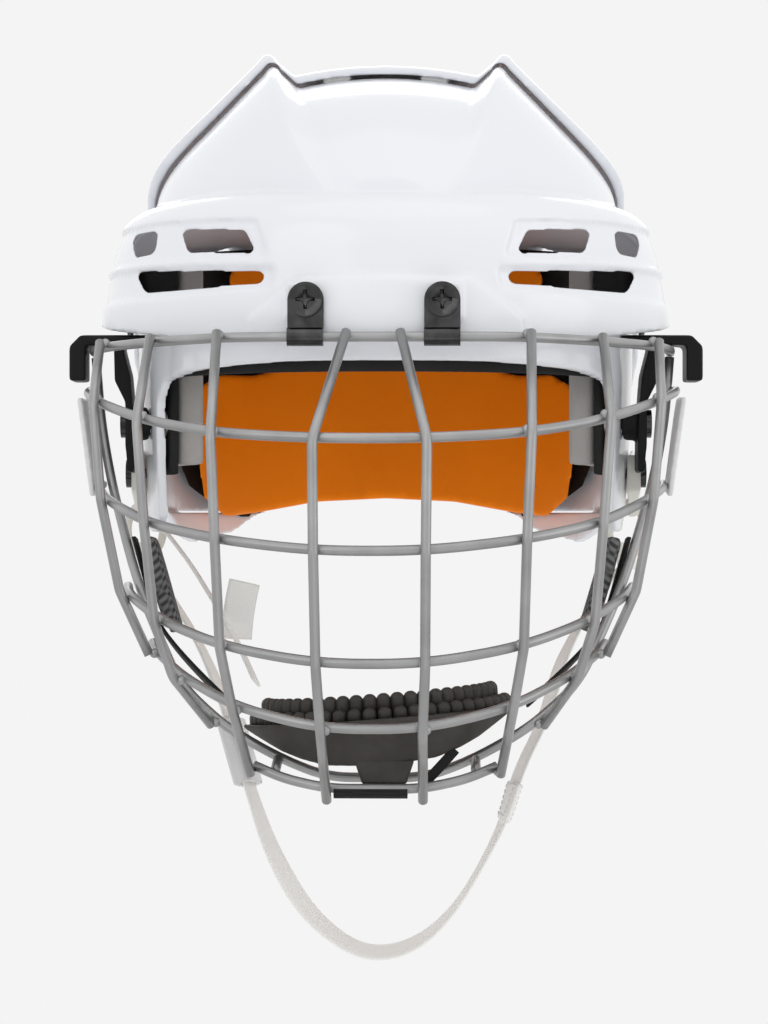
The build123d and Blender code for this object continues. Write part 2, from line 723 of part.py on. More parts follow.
occipital_half = occipital_inner_half + occipital_thickness
occipital_reach = occipital_inner_reach + occipital_thickness
pad_outline = occipital_outline + mirrored(occipital_outline[1:-1])[::-1]
with BuildPart() as occipital_pad:
    egg_band(occipital_half, occipital_reach, occipital_reach, occipital_thickness,
             rear_low, brow_high)
    add(front_prism(pad_outline, 0, rear_reach + over), mode=Mode.INTERSECT)
occipital_pad.part.label = "occipital_pad"
export_step(occipital_pad.part, "parts/occipital_pad.step")

with BuildPart() as backing_zone:
    with BuildSketch(Plane.XY.offset(rear_low)):
        with Locations((0, rear_reach)):
            Rectangle(rear_width, 2 * (rear_reach - occipital_backing_reach))
        with BuildLine():
            Spline(*egg_points(occipital_half + occipital_backing_gap,
                               occipital_reach + occipital_backing_gap,
                               occipital_reach + occipital_backing_gap), periodic=True)
        make_face(mode=Mode.SUBTRACT)
    extrude(amount=rear_high - rear_low)
    add(front_prism(occipital_backing_outline + mirrored(occipital_backing_outline[1:-1])[::-1],
                    0, rear_reach + over), mode=Mode.INTERSECT)

with BuildPart() as occipital_backing:
    rear_form(-shell_wall - occipital_backing_gap)
    add(backing_zone.part, mode=Mode.INTERSECT)
occipital_backing.part.label = "occipital_backing"
export_step(occipital_backing.part, "parts/occipital_backing.step")


# Wires of the cage
def whole_route(half_route):
    """A wire's route from the right side to the left, mirrored about the middle."""
    return [(-x, y, z) for x, y, z in reversed(half_route)] + list(half_route)


def corner_radii(route, share, most=None):
    """The bend radius at each corner of a route, from its two runs and its turn."""
    radii = []
    for before, corner, after in zip(route, route[1:], route[2:]):
        run_in = Vector(*corner) - Vector(*before)
        run_out = Vector(*after) - Vector(*corner)
        half_turn = radians(run_in.get_angle(run_out)) / 2
        radius = share * min(run_in.length, run_out.length) / tan(half_turn)
        radii.append(min(radius, most) if most else radius)
    return radii


def bend_wire(route, radii, radius=wire_radius):
    """A round wire bent along a route of the cage."""
    with BuildLine(cage) as path:
        FilletPolyline(*route, radius=radii)
    with BuildSketch(Plane(origin=path.line @ 0, z_dir=path.line % 0)) as ring:
        Circle(radius)
    sweep(sections=ring.sketch, path=path.line)


def bar_seat(route, index, bar_along=None):
    """Where a bar's axis crosses a cross wire, just outside the wire's bend."""
    corner = Vector(*route[index])
    run_in = (Vector(*route[index - 1]) - corner)
    run_out = (Vector(*route[index + 1]) - corner)
    half_turn = radians(180 - run_in.get_angle(run_out)) / 2
    inward = (run_in.normalized() + run_out.normalized()).normalized()
    radius = bend_share * min(run_in.length, run_out.length) / tan(half_turn)
    cut = radius * (1 / cos(half_turn) - 1)
    standoff = 2 * wire_radius + bar_gap
    if bar_along:
        wire_along = run_out.normalized() - run_in.normalized()
        standoff /= abs(wire_along.cross(bar_along).normalized().dot(inward))
    return tuple(corner + inward * (cut - standoff))


cross_routes = {
    "brow_wire": brow_route,
    "upper_cross_wire": upper_route,
    "middle_cross_wire": middle_route,
    "lower_cross_wire": lower_route,
    "chin_cross_wire": chin_route,
    "bottom_wire": bottom_route,
    "frame_wire": frame_route,
}
for name, half_route in cross_routes.items():
    route = whole_route(half_route)
    with BuildPart() as cross_wire:
        bend_wire(route, corner_radii(route, bend_share))
    cross_wire.part.label = name
    export_step(cross_wire.part, "parts/" + name + ".step")


def bar_route(position):
    """The route of a bar from the brow wire down; position 0 is the nearest to the middle."""
    half_routes = [brow_route, upper_route, middle_route, lower_route, chin_route]
    if position == 0:
        half_routes.append(bottom_route)
    wires = [whole_route(half_route) for half_route in half_routes]
    crossings = [(wire, len(wire) // 2 + position) for wire in wires]
    seats = [bar_seat(wire, index) for wire, index in crossings]
    tail = {1: [bottom_bar_end], 2: [cheek_bar_end]}.get(position, [])
    points = seats + tail
    along = [Vector(*points[min(place + 1, len(points) - 1)]) - Vector(*points[max(place - 1, 0)])
             for place in range(len(seats))]
    seats = [bar_seat(wire, index, bar_along)
             for (wire, index), bar_along in zip(crossings, along)]
    if position == 0:
        lean = along[0].normalized().Z
        seats[0] = (middle_bar_top, hinge_reach + (2 * wire_radius + bar_gap) / lean,
                    hinge_height)
    seats += tail
    for index, radius in enumerate(corner_radii(seats, bend_share, bar_bend), start=1):
        corner = Vector(*seats[index])
        run_in = Vector(*seats[index - 1]) - corner
        run_out = Vector(*seats[index + 1]) - corner
        half_turn = radians(180 - run_in.get_angle(run_out)) / 2
        inward = (run_in.normalized() + run_out.normalized()).normalized()
        seats[index] = tuple(corner - inward * radius * (1 / cos(half_turn) - 1))
    ends = []
    for end, inner in ((seats[0], seats[1]), (seats[-1], seats[-2])):
        outward = (Vector(*end) - Vector(*inner)).normalized()
        ends.append(tuple(Vector(*end) + outward * bar_tip))
    return [ends[0]] + seats[1:-1] + [ends[1]]


with BuildPart() as vertical_bars:
    for position in range(4):
        for side in (1, -1):
            route = [(side * x, y, z) for x, y, z in bar_route(position)]
            bend_wire(route, corner_radii(route, bend_share, bar_bend))
vertical_bars.part.label = "vertical_bars"
export_step(vertical_bars.part, "parts/vertical_bars.step")

with BuildPart() as tie_wires:
    for side in (1, -1):
        start, end = [Vector(side * x, y, z) for x, y, z in tie_ends]
        along = (end - start).normalized()
        first = start + along * (wire_radius + 2 * seat_gap)
        with BuildSketch(cage_plane(tuple(first), (1, 0, 0), tuple(along))):
            Circle(wire_radius)
        extrude(amount=(end - first).length - wire_radius - seat_gap)
tie_wires.part.label = "tie_wires"
export_step(tie_wires.part, "parts/tie_wires.step")

# Side plates of the cage, outside the ends of the upper and middle cross wires
upper_end, middle_end = upper_route[-1], middle_route[-1]
plate_tilt = (upper_end[0] - middle_end[0]) / (upper_end[2] - middle_end[2])
for name, side in (("left", 1), ("right", -1)):
    inner_face = middle_end[0] + wire_radius + weld_gap
    with BuildPart() as side_plate:
        with BuildSketch(cage_plane((side * inner_face, 0, middle_end[2]), (0, 1, 0),
                                    (side, 0, -plate_tilt))):
            flip = side
            with BuildLine():
                Polyline(*[(reach, flip * (height - middle_end[2]))
                           for reach, height in side_plate_outline], close=True)
            make_face()
        extrude(amount=side_plate_thickness)
    side_plate.part.label = "side_plate_" + name
    export_step(side_plate.part, "parts/side_plate_" + name + ".step")


# Forehead clips: bent strips that hold the brow wire, each with a screw and a nut
hook_outer = wire_radius + clip_hook_gap + clip_thickness
with BuildPart() as cage_clips:
    for side in (-1, 1):
        with BuildSketch(cage_plane((side * clip_spacing / 2, clip_plate_back,
                                     clip_screw_height), (1, 0, 0), (0, -1, 0))):
            Circle(clip_top_radius)
            with Locations((0, (hinge_height - clip_screw_height) / 2)):
                Rectangle(clip_width, clip_screw_height - hinge_height)
            Circle(cage_screw_radius + weld_gap, mode=Mode.SUBTRACT)
        extrude(amount=clip_thickness)
        with BuildSketch(cage_plane((side * clip_spacing / 2 - clip_width / 2, hinge_reach,
                                     hinge_height), (0, 1, 0), (1, 0, 0))):
            Circle(hook_outer)
            Circle(wire_radius + clip_hook_gap, mode=Mode.SUBTRACT)
        extrude(amount=clip_width)
cage_clips.part.label = "cage_clips"
export_step(cage_clips.part, "parts/cage_clips.step")

clip_plate_front = clip_plate_back - clip_thickness
with BuildPart() as clip_screws:
    for spot in clip_spots(clip_plate_front - weld_gap):
        with BuildSketch(spot):
            Circle(cage_screw_head)
        extrude(amount=cage_screw_head_height)
        with BuildSketch(spot):
            Circle(cage_screw_radius)
        extrude(amount=-cage_screw_length)
        with BuildSketch(spot.offset(cage_screw_head_height)):
            Rectangle(cross_slot_length, cross_slot_width)
            Rectangle(cross_slot_width, cross_slot_length)
        extrude(amount=-cross_slot_depth, mode=Mode.SUBTRACT)
clip_screws.part.label = "clip_screws"
export_step(clip_screws.part, "parts/clip_screws.step")

with BuildPart() as clip_nuts:
    for spot in clip_spots(clip_plate_front + cage_screw_length - seat_gap):
        with BuildSketch(spot):
            Circle(cage_nut_radius)
            Circle(cage_screw_radius + weld_gap, mode=Mode.SUBTRACT)
        extrude(amount=cage_nut_thickness)
clip_nuts.part.label = "clip_nuts"
export_step(clip_nuts.part, "parts/clip_nuts.step")

# Side clips: hooks on the skirt that the ends of the brow wire drop out of
near, far = side_clip_reaches
for name, side in (("left", 1), ("right", -1)):
    with BuildPart() as side_clip:
        with BuildSketch(Plane.XZ.offset(-near)):
            with BuildLine():
                Polyline(*[(side * x, z) for x, z in (
                    (side_clip_inner - side_clip_root, side_clip_top),
                    (side_clip_outer - side_clip_bend, side_clip_top),
                    (side_clip_outer, side_clip_top - side_clip_bend),
                    (side_clip_outer, side_clip_leg_low),
                    (side_clip_leg, side_clip_leg_low),
                    (side_clip_leg, side_clip_roof),
                    *side_clip_leaf,
                    (side_clip_inner - side_clip_root, side_clip_roof))], close=True)
            make_face()
        extrude(amount=near - far)
        with BuildSketch(Plane(origin=(side * (side_clip_inner - side_clip_root),
                                       side_screw_reach, side_screw_height),
                               z_dir=(side, 0, 0))):
            Circle(side_boss_radius)
        extrude(amount=side_clip_root)
        skirt_form(seat_gap, mode=Mode.SUBTRACT)
        with BuildSketch(Plane.YZ):
            with Locations((side_screw_reach, side_screw_height)):
                Circle(size_screw_radius + weld_gap)
        extrude(amount=brow_width, both=True, mode=Mode.SUBTRACT)
    side_clip.part.label = "side_clip_" + name
    export_step(side_clip.part, "parts/side_clip_" + name + ".step")


def side_screws(reach, height, head_seat, nut_seat):
    """A screw on each side of the helmet, from its head outside to its end inside."""
    for spot in side_spots(reach, (height,)):
        with BuildSketch(spot.offset(nut_seat - size_nut_thickness)) as shaft:
            Circle(size_screw_radius)
        extrude(shaft.sketch, amount=head_seat - nut_seat + size_nut_thickness + weld_gap)
        with BuildSketch(spot.offset(head_seat + weld_gap)) as head:
            Circle(size_head_radius)
        extrude(head.sketch, amount=size_head_height)


def side_nuts(reach, height, nut_seat):
    """A round nut on each side of the helmet, just inside the skirt."""
    for spot in side_spots(reach, (height,)):
        with BuildSketch(spot.offset(nut_seat - size_nut_thickness)) as nut:
            Circle(size_nut_radius)
            Circle(size_screw_radius + weld_gap, mode=Mode.SUBTRACT)
        extrude(nut.sketch, amount=size_nut_thickness)


side_nut_seat, loop_nut_seat = [seat for reach, height, seat in nut_places]
with BuildPart() as side_clip_screws:
    side_screws(side_screw_reach, side_screw_height, side_clip_inner, side_nut_seat)
side_clip_screws.part.label = "side_clip_screws"
export_step(side_clip_screws.part, "parts/side_clip_screws.step")

with BuildPart() as side_clip_nuts:
    side_nuts(side_screw_reach, side_screw_height, side_nut_seat)
side_clip_nuts.part.label = "side_clip_nuts"
export_step(side_clip_nuts.part, "parts/side_clip_nuts.step")

# Ear loops: a tab screwed to the skirt behind the temple, with a ring for the chin strap
for name, side in (("left", 1), ("right", -1)):
    with BuildPart() as ear_loop:
        with BuildSketch(Plane.YZ.offset(side * (loop_tab_outer - loop_tab_root))):
            with BuildLine():
                Polyline(*loop_tab_outline, close=True)
            make_face()
        extrude(amount=side * loop_tab_root)
        skirt_form(seat_gap, mode=Mode.SUBTRACT)
        across, reach, height = loop_centre
        with BuildSketch(Plane.XZ.offset(-reach - loop_thickness / 2)):
            with Locations((side * across, height)):
                Ellipse(loop_radius_wide, loop_radius_tall)
                Ellipse(loop_radius_wide - loop_rim, loop_radius_tall - loop_rim,
                        mode=Mode.SUBTRACT)
        extrude(amount=loop_thickness)
        with BuildSketch(Plane.YZ):
            with Locations((loop_screw_reach, loop_screw_height)):
                Circle(size_screw_radius + weld_gap)
        extrude(amount=brow_width, both=True, mode=Mode.SUBTRACT)
    ear_loop.part.label = "ear_loop_" + name
    export_step(ear_loop.part, "parts/ear_loop_" + name + ".step")

with BuildPart() as loop_screws:
    side_screws(loop_screw_reach, loop_screw_height, loop_tab_outer, loop_nut_seat)
loop_screws.part.label = "loop_screws"
export_step(loop_screws.part, "parts/loop_screws.step")

with BuildPart() as loop_nuts:
    side_nuts(loop_screw_reach, loop_screw_height, loop_nut_seat)
loop_nuts.part.label = "loop_nuts"
export_step(loop_nuts.part, "parts/loop_nuts.step")


# Webbing
def lay_web(route, width, thickness, plane=Plane.XY, straight_runs=(), hint=(0, 1, 0)):
    """A flat web along a route, with its width towards the hint at its start."""
    radii = corner_radii(route, bend_share)
    for run in straight_runs:
        for corner in (run - 1, run):
            radii[corner] = min(radii[corner], web_bend)
    with BuildLine(plane) as path:
        FilletPolyline(*route, radius=radii)
    along = path.line % 0
    across = Vector(*hint)
    across = (across - along * across.dot(along)).normalized()
    with BuildSketch(Plane(origin=path.line @ 0, x_dir=across, z_dir=along)) as section:
        Rectangle(width, thickness)
    sweep(sections=section.sketch, path=path.line)
    return path.line


with BuildPart() as chin_strap:
    strap_line = lay_web(strap_route, strap_width, strap_thickness,
                         straight_runs=(slider_run, keeper_run))
chin_strap.part.label = "chin_strap"
export_step(chin_strap.part, "parts/chin_strap.step")
print("chin strap length", round(sum(edge.length for edge in strap_line.edges()), 1))

with BuildPart() as strap_branch:
    lay_web(branch_route, tail_width, tail_thickness)
strap_branch.part.label = "strap_branch"
export_step(strap_branch.part, "parts/strap_branch.step")

with BuildPart() as strap_tail:
    lay_web(tail_route, tail_width, tail_thickness, hint=(1, 0, 0))
strap_tail.part.label = "strap_tail"
export_step(strap_tail.part, "parts/strap_tail.step")


def strap_place(run):
    """A plane across the strap, in the middle of a run of its route."""
    runs = [(Vector(*after) - Vector(*before)).normalized()
            for before, after in zip(strap_route, strap_route[1:run + 2])]
    across = Vector(0, 1, 0)
    across = (across - runs[0] * across.dot(runs[0])).normalized()
    for run_in, run_out in zip(runs, runs[1:]):
        across = across.rotate(Axis((0, 0, 0), run_in.cross(run_out)),
                               run_in.get_angle(run_out))
    middle = (Vector(*strap_route[run]) + Vector(*strap_route[run + 1])) / 2
    return Plane(origin=middle, x_dir=across, z_dir=runs[-1])


# Slider on one side of the strap and keeper on the other; the strap runs through both
for name, place, size in (("strap_slider", strap_place(slider_run), buckle_size),
                          ("strap_keeper", strap_place(keeper_run), keeper_size)):
    width, thickness, length = size
    with BuildPart() as strap_piece:
        with BuildSketch(place.offset(-length / 2)):
            RectangleRounded(width, thickness, thickness * buckle_round_share)
            Rectangle(*buckle_slot, mode=Mode.SUBTRACT)
        extrude(amount=length)
    strap_piece.part.label = name
    export_step(strap_piece.part, "parts/" + name + ".step")


# Chin cup: a thin shell, a ribbed pad in it, and the straps that tie it to the cage
def cup_plane(origin, x_dir, z_dir):
    """A plane of the cup, tilted about the front-to-back line through its middle top."""
    lean = Plane(origin=(0, 0, cup_top), x_dir=(cos(radians(cup_tilt)), 0, sin(radians(cup_tilt))),
                 z_dir=(-sin(radians(cup_tilt)), 0, cos(radians(cup_tilt))))
    origin = (origin[0], origin[1], origin[2] - cup_top)
    tilted = [lean.from_local_coords(Vector(*origin))]
    tilted += [lean.from_local_coords(Vector(*vector)) - lean.origin
               for vector in (x_dir, z_dir)]
    return cage_plane(*[tuple(vector) for vector in tilted])


def cup_plan(height, inset):
    """The plan of the chin cup at a height; it draws in towards its low edge."""
    tuck = cup_tuck * (cup_top - height) / (cup_top - cup_low) + inset
    return egg_points(cup_half_width - tuck, cup_depth - tuck, cup_depth - tuck)


def cup_level(height, inset):
    """One level of the cup, as a face on the cage."""
    with BuildSketch(cup_plane((0, cup_reach, height), (1, 0, 0), (0, 0, 1))) as level:
        with BuildLine():
            Spline(*cup_plan(height, inset), periodic=True)
        make_face()
    return level.sketch


cup_front = cup_plane((0, cup_reach, 0), (1, 0, 0), (0, -1, 0))
with BuildPart() as chin_cup:
    loft(sections=[cup_level(cup_shell_top, 0), cup_level(cup_low, 0)], ruled=True)
    loft(sections=[cup_level(cup_shell_top, cup_wall), cup_level(cup_low, cup_wall)],
         ruled=True, mode=Mode.SUBTRACT)
    with BuildSketch(cup_front):
        with BuildLine():
            Polyline(*(cup_outline + mirrored(cup_outline[1:-1])[::-1]), close=True)
        make_face()
    extrude(amount=2 * cup_depth, mode=Mode.INTERSECT)
chin_cup.part.label = "chin_cup"
export_step(chin_cup.part, "parts/chin_cup.step")

pad_low, pad_high = cup_pad_heights
rib_margin = cup_tuck * (pad_high - cup_rib_low) / (cup_top - cup_low)
rib_row_step = cup_pad_width - 2 * cup_rib_radius - rib_margin
with BuildPart() as chin_cup_pad:
    rib_inset = cup_wall + seat_gap
    loft(sections=[cup_level(pad_high, rib_inset), cup_level(pad_low, rib_inset)], ruled=True)
    inner = rib_inset + cup_pad_width
    loft(sections=[cup_level(pad_high, inner), cup_level(pad_low, inner)],
         ruled=True, mode=Mode.SUBTRACT)
    with BuildSketch(cup_front):
        with BuildLine():
            Polyline(*(cup_outline + mirrored(cup_outline[1:-1])[::-1]), close=True)
        make_face()
    extrude(amount=2 * cup_depth, mode=Mode.INTERSECT)
    for row, rib_top in enumerate(cup_rib_tops):
        rib_seat = rib_inset + rib_margin + cup_rib_radius + row * rib_row_step
        seat = cup_half_width - cup_tuck * (cup_top - pad_high) / (cup_top - cup_low) - rib_seat
        deep = seat + cup_depth - cup_half_width
        with BuildSketch(cup_plane((0, cup_reach, cup_rib_low), (1, 0, 0), (0, 0, 1))):
            for rib in range(cup_rib_count):
                angle = pi * (rib + 0.5) / cup_rib_count
                with Locations((seat * cos(angle), -deep * sin(angle))):
                    Circle(cup_rib_radius)
        extrude(amount=rib_top - cup_rib_low)
chin_cup_pad.part.label = "chin_cup_pad"
export_step(chin_cup_pad.part, "parts/chin_cup_pad.step")

bottom_reach, bottom_height = bottom_route[0][1], bottom_route[0][2]
wrap_inner = wire_radius + clip_hook_gap
wrap_outer = wrap_inner + cup_strap_thickness
riser_top = cup_low - bottom_height - seat_gap
with BuildPart() as chin_cup_strap:
    with BuildSketch(cage_plane((cup_strap_centre - cup_strap_width / 2, bottom_reach,
                                 bottom_height), (0, 1, 0), (1, 0, 0))):
        Circle(wrap_outer)
        Circle(wrap_inner, mode=Mode.SUBTRACT)
        with Locations((0, wrap_outer)):
            Rectangle(2 * wrap_outer, 2 * wrap_outer, mode=Mode.SUBTRACT)
    extrude(amount=cup_strap_width)
    with BuildSketch(cage_plane((cup_riser_centre - cup_riser_width / 2, bottom_reach,
                                 bottom_height), (0, 1, 0), (1, 0, 0))):
        with Locations((wrap_inner + cup_strap_thickness / 2, 0)):
            Rectangle(cup_strap_thickness, riser_top, align=(Align.CENTER, Align.MIN))
    extrude(amount=cup_riser_width)
chin_cup_strap.part.label = "chin_cup_strap"
export_step(chin_cup_strap.part, "parts/chin_cup_strap.step")

for name, side in (("left", 1), ("right", -1)):
    route = [(side * x, y, z) for x, y, z in cheek_strap_route]
    with BuildPart() as cheek_strap:
        lay_web(route, cheek_strap_width, cup_strap_thickness, cage)
    cheek_strap.part.label = "cheek_strap_" + name
    export_step(cheek_strap.part, "parts/cheek_strap_" + name + ".step")
    first, second, third = [Vector(side * (x - cheek_pad_inset), y, z)
                            for x, y, z in cheek_strap_route[:3]]
    pad_route = [tuple(first), tuple(second),
                 tuple(second + (third - second) * cheek_pad_end_share)]
    with BuildPart() as cheek_pad:
        lay_web(pad_route, cheek_pad_width, cheek_pad_thickness, cage)
    cheek_pad.part.label = "cheek_pad_" + name
    export_step(cheek_pad.part, "parts/cheek_pad_" + name + ".step")
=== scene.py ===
# %% [markdown]
# # An ice hockey helmet with a wire cage
# The helmet is two glossy shells over foam, a hinged cage of welded wire, a chin cup and a strap.
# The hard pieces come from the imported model. Blender adds what a rigid model can't hold: soft
# foam, woven straps, welds, stitches and the finish of every surface.

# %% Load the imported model
import json
import math

import bmesh
import bpy
from mathutils import Matrix, Vector
from mathutils.kdtree import KDTree


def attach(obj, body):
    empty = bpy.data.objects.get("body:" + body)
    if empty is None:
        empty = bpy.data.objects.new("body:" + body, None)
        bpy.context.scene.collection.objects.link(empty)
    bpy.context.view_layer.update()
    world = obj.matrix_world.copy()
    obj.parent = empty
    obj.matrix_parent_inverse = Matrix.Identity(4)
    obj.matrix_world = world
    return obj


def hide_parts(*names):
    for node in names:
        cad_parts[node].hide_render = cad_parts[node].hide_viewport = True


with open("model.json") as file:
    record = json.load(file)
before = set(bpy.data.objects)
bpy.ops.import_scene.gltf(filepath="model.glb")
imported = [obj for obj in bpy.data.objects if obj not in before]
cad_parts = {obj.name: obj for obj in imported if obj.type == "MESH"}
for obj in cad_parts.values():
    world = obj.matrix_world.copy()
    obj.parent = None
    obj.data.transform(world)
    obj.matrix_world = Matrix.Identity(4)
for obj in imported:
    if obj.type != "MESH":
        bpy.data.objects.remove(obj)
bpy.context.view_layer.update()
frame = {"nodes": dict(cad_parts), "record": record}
nodes = frame["nodes"]
bodies = frame["record"]["behaviour"]["bodies"]
body_of = {node: body for body, members in bodies.items() for node in members}
slots = {part["node"]: part["material_slot"] for part in frame["record"]["subparts"]}

# %% [markdown]
# ## Where the camera stands
# The photograph was taken from straight ahead with a long lens, so the camera looks along +Y
# from 1.2 m. A long lens keeps the cage from bulging towards us, as a short one would.

# %% Camera
film_height, focal_pixels, photo_height = 36.0, 3000, 1024
camera_aside, camera_distance = -0.0008, 1.2

camera_data = bpy.data.cameras.new("camera")
camera_data.sensor_width = film_height
camera_data.lens = film_height * focal_pixels / photo_height
camera_data.clip_end = 20.0
camera = bpy.data.objects.new("camera", camera_data)
camera.location = (camera_aside, -camera_distance, 0.0)
camera.rotation_euler = (math.radians(90), 0, 0)
bpy.context.scene.collection.objects.link(camera)
bpy.context.scene.camera = camera
print("lens", round(camera_data.lens, 2), "mm")

# %% [markdown]
# ## Finishes
# Each real finish has fine detail: moulding grain, paint ripple, foam cells or threads. Two
# effects serve many finishes, so each is one node group: a grain that roughens a surface, and a
# weave that follows a strap's own length and width.

# %% Helpers for node trees
def link_math(tree, operation, first, second=None):
    """A Math node whose inputs are sockets or plain numbers."""
    node = tree.nodes.new("ShaderNodeMath")
    node.operation = operation
    for place, value in enumerate((first, second)):
        if value is None:
            continue
        if isinstance(value, bpy.types.NodeSocket):
            tree.links.new(value, node.inputs[place])
        else:
            node.inputs[place].default_value = value
    return node.outputs[0]


def new_group(name, inputs, outputs):
    """An empty shader group with float inputs and the given outputs."""
    group = bpy.data.node_groups.new(name, "ShaderNodeTree")
    for socket, value in inputs.items():
        made = group.interface.new_socket(socket, in_out="INPUT", socket_type="NodeSocketFloat")
        made.default_value = value
    for socket, kind in outputs.items():
        group.interface.new_socket(socket, in_out="OUTPUT", socket_type=kind)
    return group, group.nodes.new("NodeGroupInput"), group.nodes.new("NodeGroupOutput")


print("helpers ready")

# %% The grain group
bump_distance = 0.0004

grain, grain_in, grain_out = new_group(
    "surface_grain",
    {"Scale": 900.0, "Depth": 0.1, "Patches": 30.0},
    {"Normal": "NodeSocketVector", "Patch": "NodeSocketFloat"},
)
grain_place = grain.nodes.new("ShaderNodeTexCoord")
cells = grain.nodes.new("ShaderNodeTexNoise")
cells.inputs["Detail"].default_value = 4.0
patches = grain.nodes.new("ShaderNodeTexNoise")
patches.inputs["Detail"].default_value = 3.0
bump = grain.nodes.new("ShaderNodeBump")
bump.inputs["Distance"].default_value = bump_distance
grain.links.new(grain_place.outputs["Object"], cells.inputs["Vector"])
grain.links.new(grain_place.outputs["Object"], patches.inputs["Vector"])
grain.links.new(grain_in.outputs["Scale"], cells.inputs["Scale"])
grain.links.new(grain_in.outputs["Patches"], patches.inputs["Scale"])
grain.links.new(grain_in.outputs["Depth"], bump.inputs["Strength"])
grain.links.new(cells.outputs["Fac"], bump.inputs["Height"])
grain.links.new(bump.outputs["Normal"], grain_out.inputs["Normal"])
grain.links.new(patches.outputs["Fac"], grain_out.inputs["Patch"])
print("grain group:", len(grain.nodes), "nodes")

# %% The weave group
weave, weave_in, weave_out = new_group(
    "woven_threads",
    {"Pitch": 0.0011, "Depth": 0.6},
    {"Normal": "NodeSocketVector", "Thread": "NodeSocketFloat"},
)
strap_map = weave.nodes.new("ShaderNodeUVMap")
strap_map.uv_map = "strap"
apart = weave.nodes.new("ShaderNodeSeparateXYZ")
weave.links.new(strap_map.outputs["UV"], apart.inputs[0])
turn = link_math(weave, "DIVIDE", 2 * math.pi, weave_in.outputs["Pitch"])
along = link_math(weave, "MULTIPLY", apart.outputs["X"], turn)
across = link_math(weave, "MULTIPLY", apart.outputs["Y"], turn)
slanted = link_math(weave, "ADD", along, link_math(weave, "MULTIPLY", across, 0.5))
threads = link_math(weave, "MULTIPLY", link_math(weave, "SINE", slanted),
                    link_math(weave, "SINE", across))
raised = link_math(weave, "ADD", link_math(weave, "MULTIPLY", threads, 0.5), 0.5)
weave_bump = weave.nodes.new("ShaderNodeBump")
weave_bump.inputs["Distance"].default_value = bump_distance
weave.links.new(raised, weave_bump.inputs["Height"])
weave.links.new(weave_in.outputs["Depth"], weave_bump.inputs["Strength"])
weave.links.new(weave_bump.outputs["Normal"], weave_out.inputs["Normal"])
# The thread height also drives the strap colour: painted shade, darker in the hollows between
# threads.
weave.links.new(raised, weave_out.inputs["Thread"])
print("weave group:", len(weave.nodes), "nodes")

# %% A finish from a colour, a gloss and a group
finishes = {}
dark_below, light_above = 0.3, 0.7


def finish(name, light, dark, roughness, metallic=0.0, coat=0.0, shine=0.5, group=grain,
           **settings):
    """A material whose colour drifts from dark to light by the group's mask."""
    material = bpy.data.materials.new(name)
    material.use_nodes = True
    tree = material.node_tree
    shader = tree.nodes["Principled BSDF"]
    detail = tree.nodes.new("ShaderNodeGroup")
    detail.node_tree = group
    for socket, value in settings.items():
        detail.inputs[socket.capitalize()].default_value = value
    ramp = tree.nodes.new("ShaderNodeValToRGB")
    ramp.color_ramp.elements[0].position = dark_below
    ramp.color_ramp.elements[1].position = light_above
    ramp.color_ramp.elements[0].color = (*dark, 1)
    ramp.color_ramp.elements[1].color = (*light, 1)
    # For the weave this mask is painted shade, darker in the hollows between threads; for the
    # grain it is random tone.
    mask = detail.outputs["Patch" if group is grain else "Thread"]
    tree.links.new(mask, ramp.inputs["Fac"])
    tree.links.new(ramp.outputs["Color"], shader.inputs["Base Color"])
    tree.links.new(detail.outputs["Normal"], shader.inputs["Normal"])
    shader.inputs["Roughness"].default_value = roughness
    shader.inputs["Metallic"].default_value = metallic
    shader.inputs["Coat Weight"].default_value = coat
    shader.inputs["Specular IOR Level"].default_value = shine
    finishes[name] = material
    return shader


def grey(level):
    return (level, level, level)


print("finish helper ready")

# %% [markdown]
# ### Hard finishes
# The shells are glossy white plastic with the faint ripple of a mould. The wires carry satin
# silver paint, so they are only half metallic. The clips and screws are black nickel, which
# shows the room in a dark mirror.

# %% Shell, wire and plated finishes
finish("shell", (0.89, 0.905, 0.945), (0.875, 0.89, 0.935), 0.18, coat=0.4,
       scale=140.0, depth=0.010, patches=9.0)
finish("wire", grey(0.40), grey(0.32), 0.36, metallic=0.72, coat=0.10,
       scale=1500.0, depth=0.10, patches=60.0)
finish("black_nickel", grey(0.085), grey(0.040), 0.16, metallic=1.0,
       scale=900.0, depth=0.05, patches=160.0)
finish("steel", grey(0.50), grey(0.36), 0.35, metallic=1.0,
       scale=1200.0, depth=0.08, patches=90.0)
finish("black_plastic", grey(0.008), grey(0.005), 0.42, shine=0.16,
       scale=1800.0, depth=0.16, patches=40.0)
finish("white_plastic", (0.80, 0.80, 0.80), (0.74, 0.74, 0.74), 0.38,
       scale=1200.0, depth=0.08, patches=40.0)
finish("cream_plastic", (0.80, 0.785, 0.72), (0.72, 0.70, 0.63), 0.34, coat=0.2,
       scale=900.0, depth=0.06, patches=50.0)
print("hard finishes", sorted(finishes))

# %% [markdown]
# ### Soft finishes
# Closed-cell foam has cells of about half a millimetre under a matte skin, and the straps are
# woven from threads of about a millimetre. The chin cup is moulded rubber with a soft shine, and
# the strap's slider is a milky plastic that lets some light through.

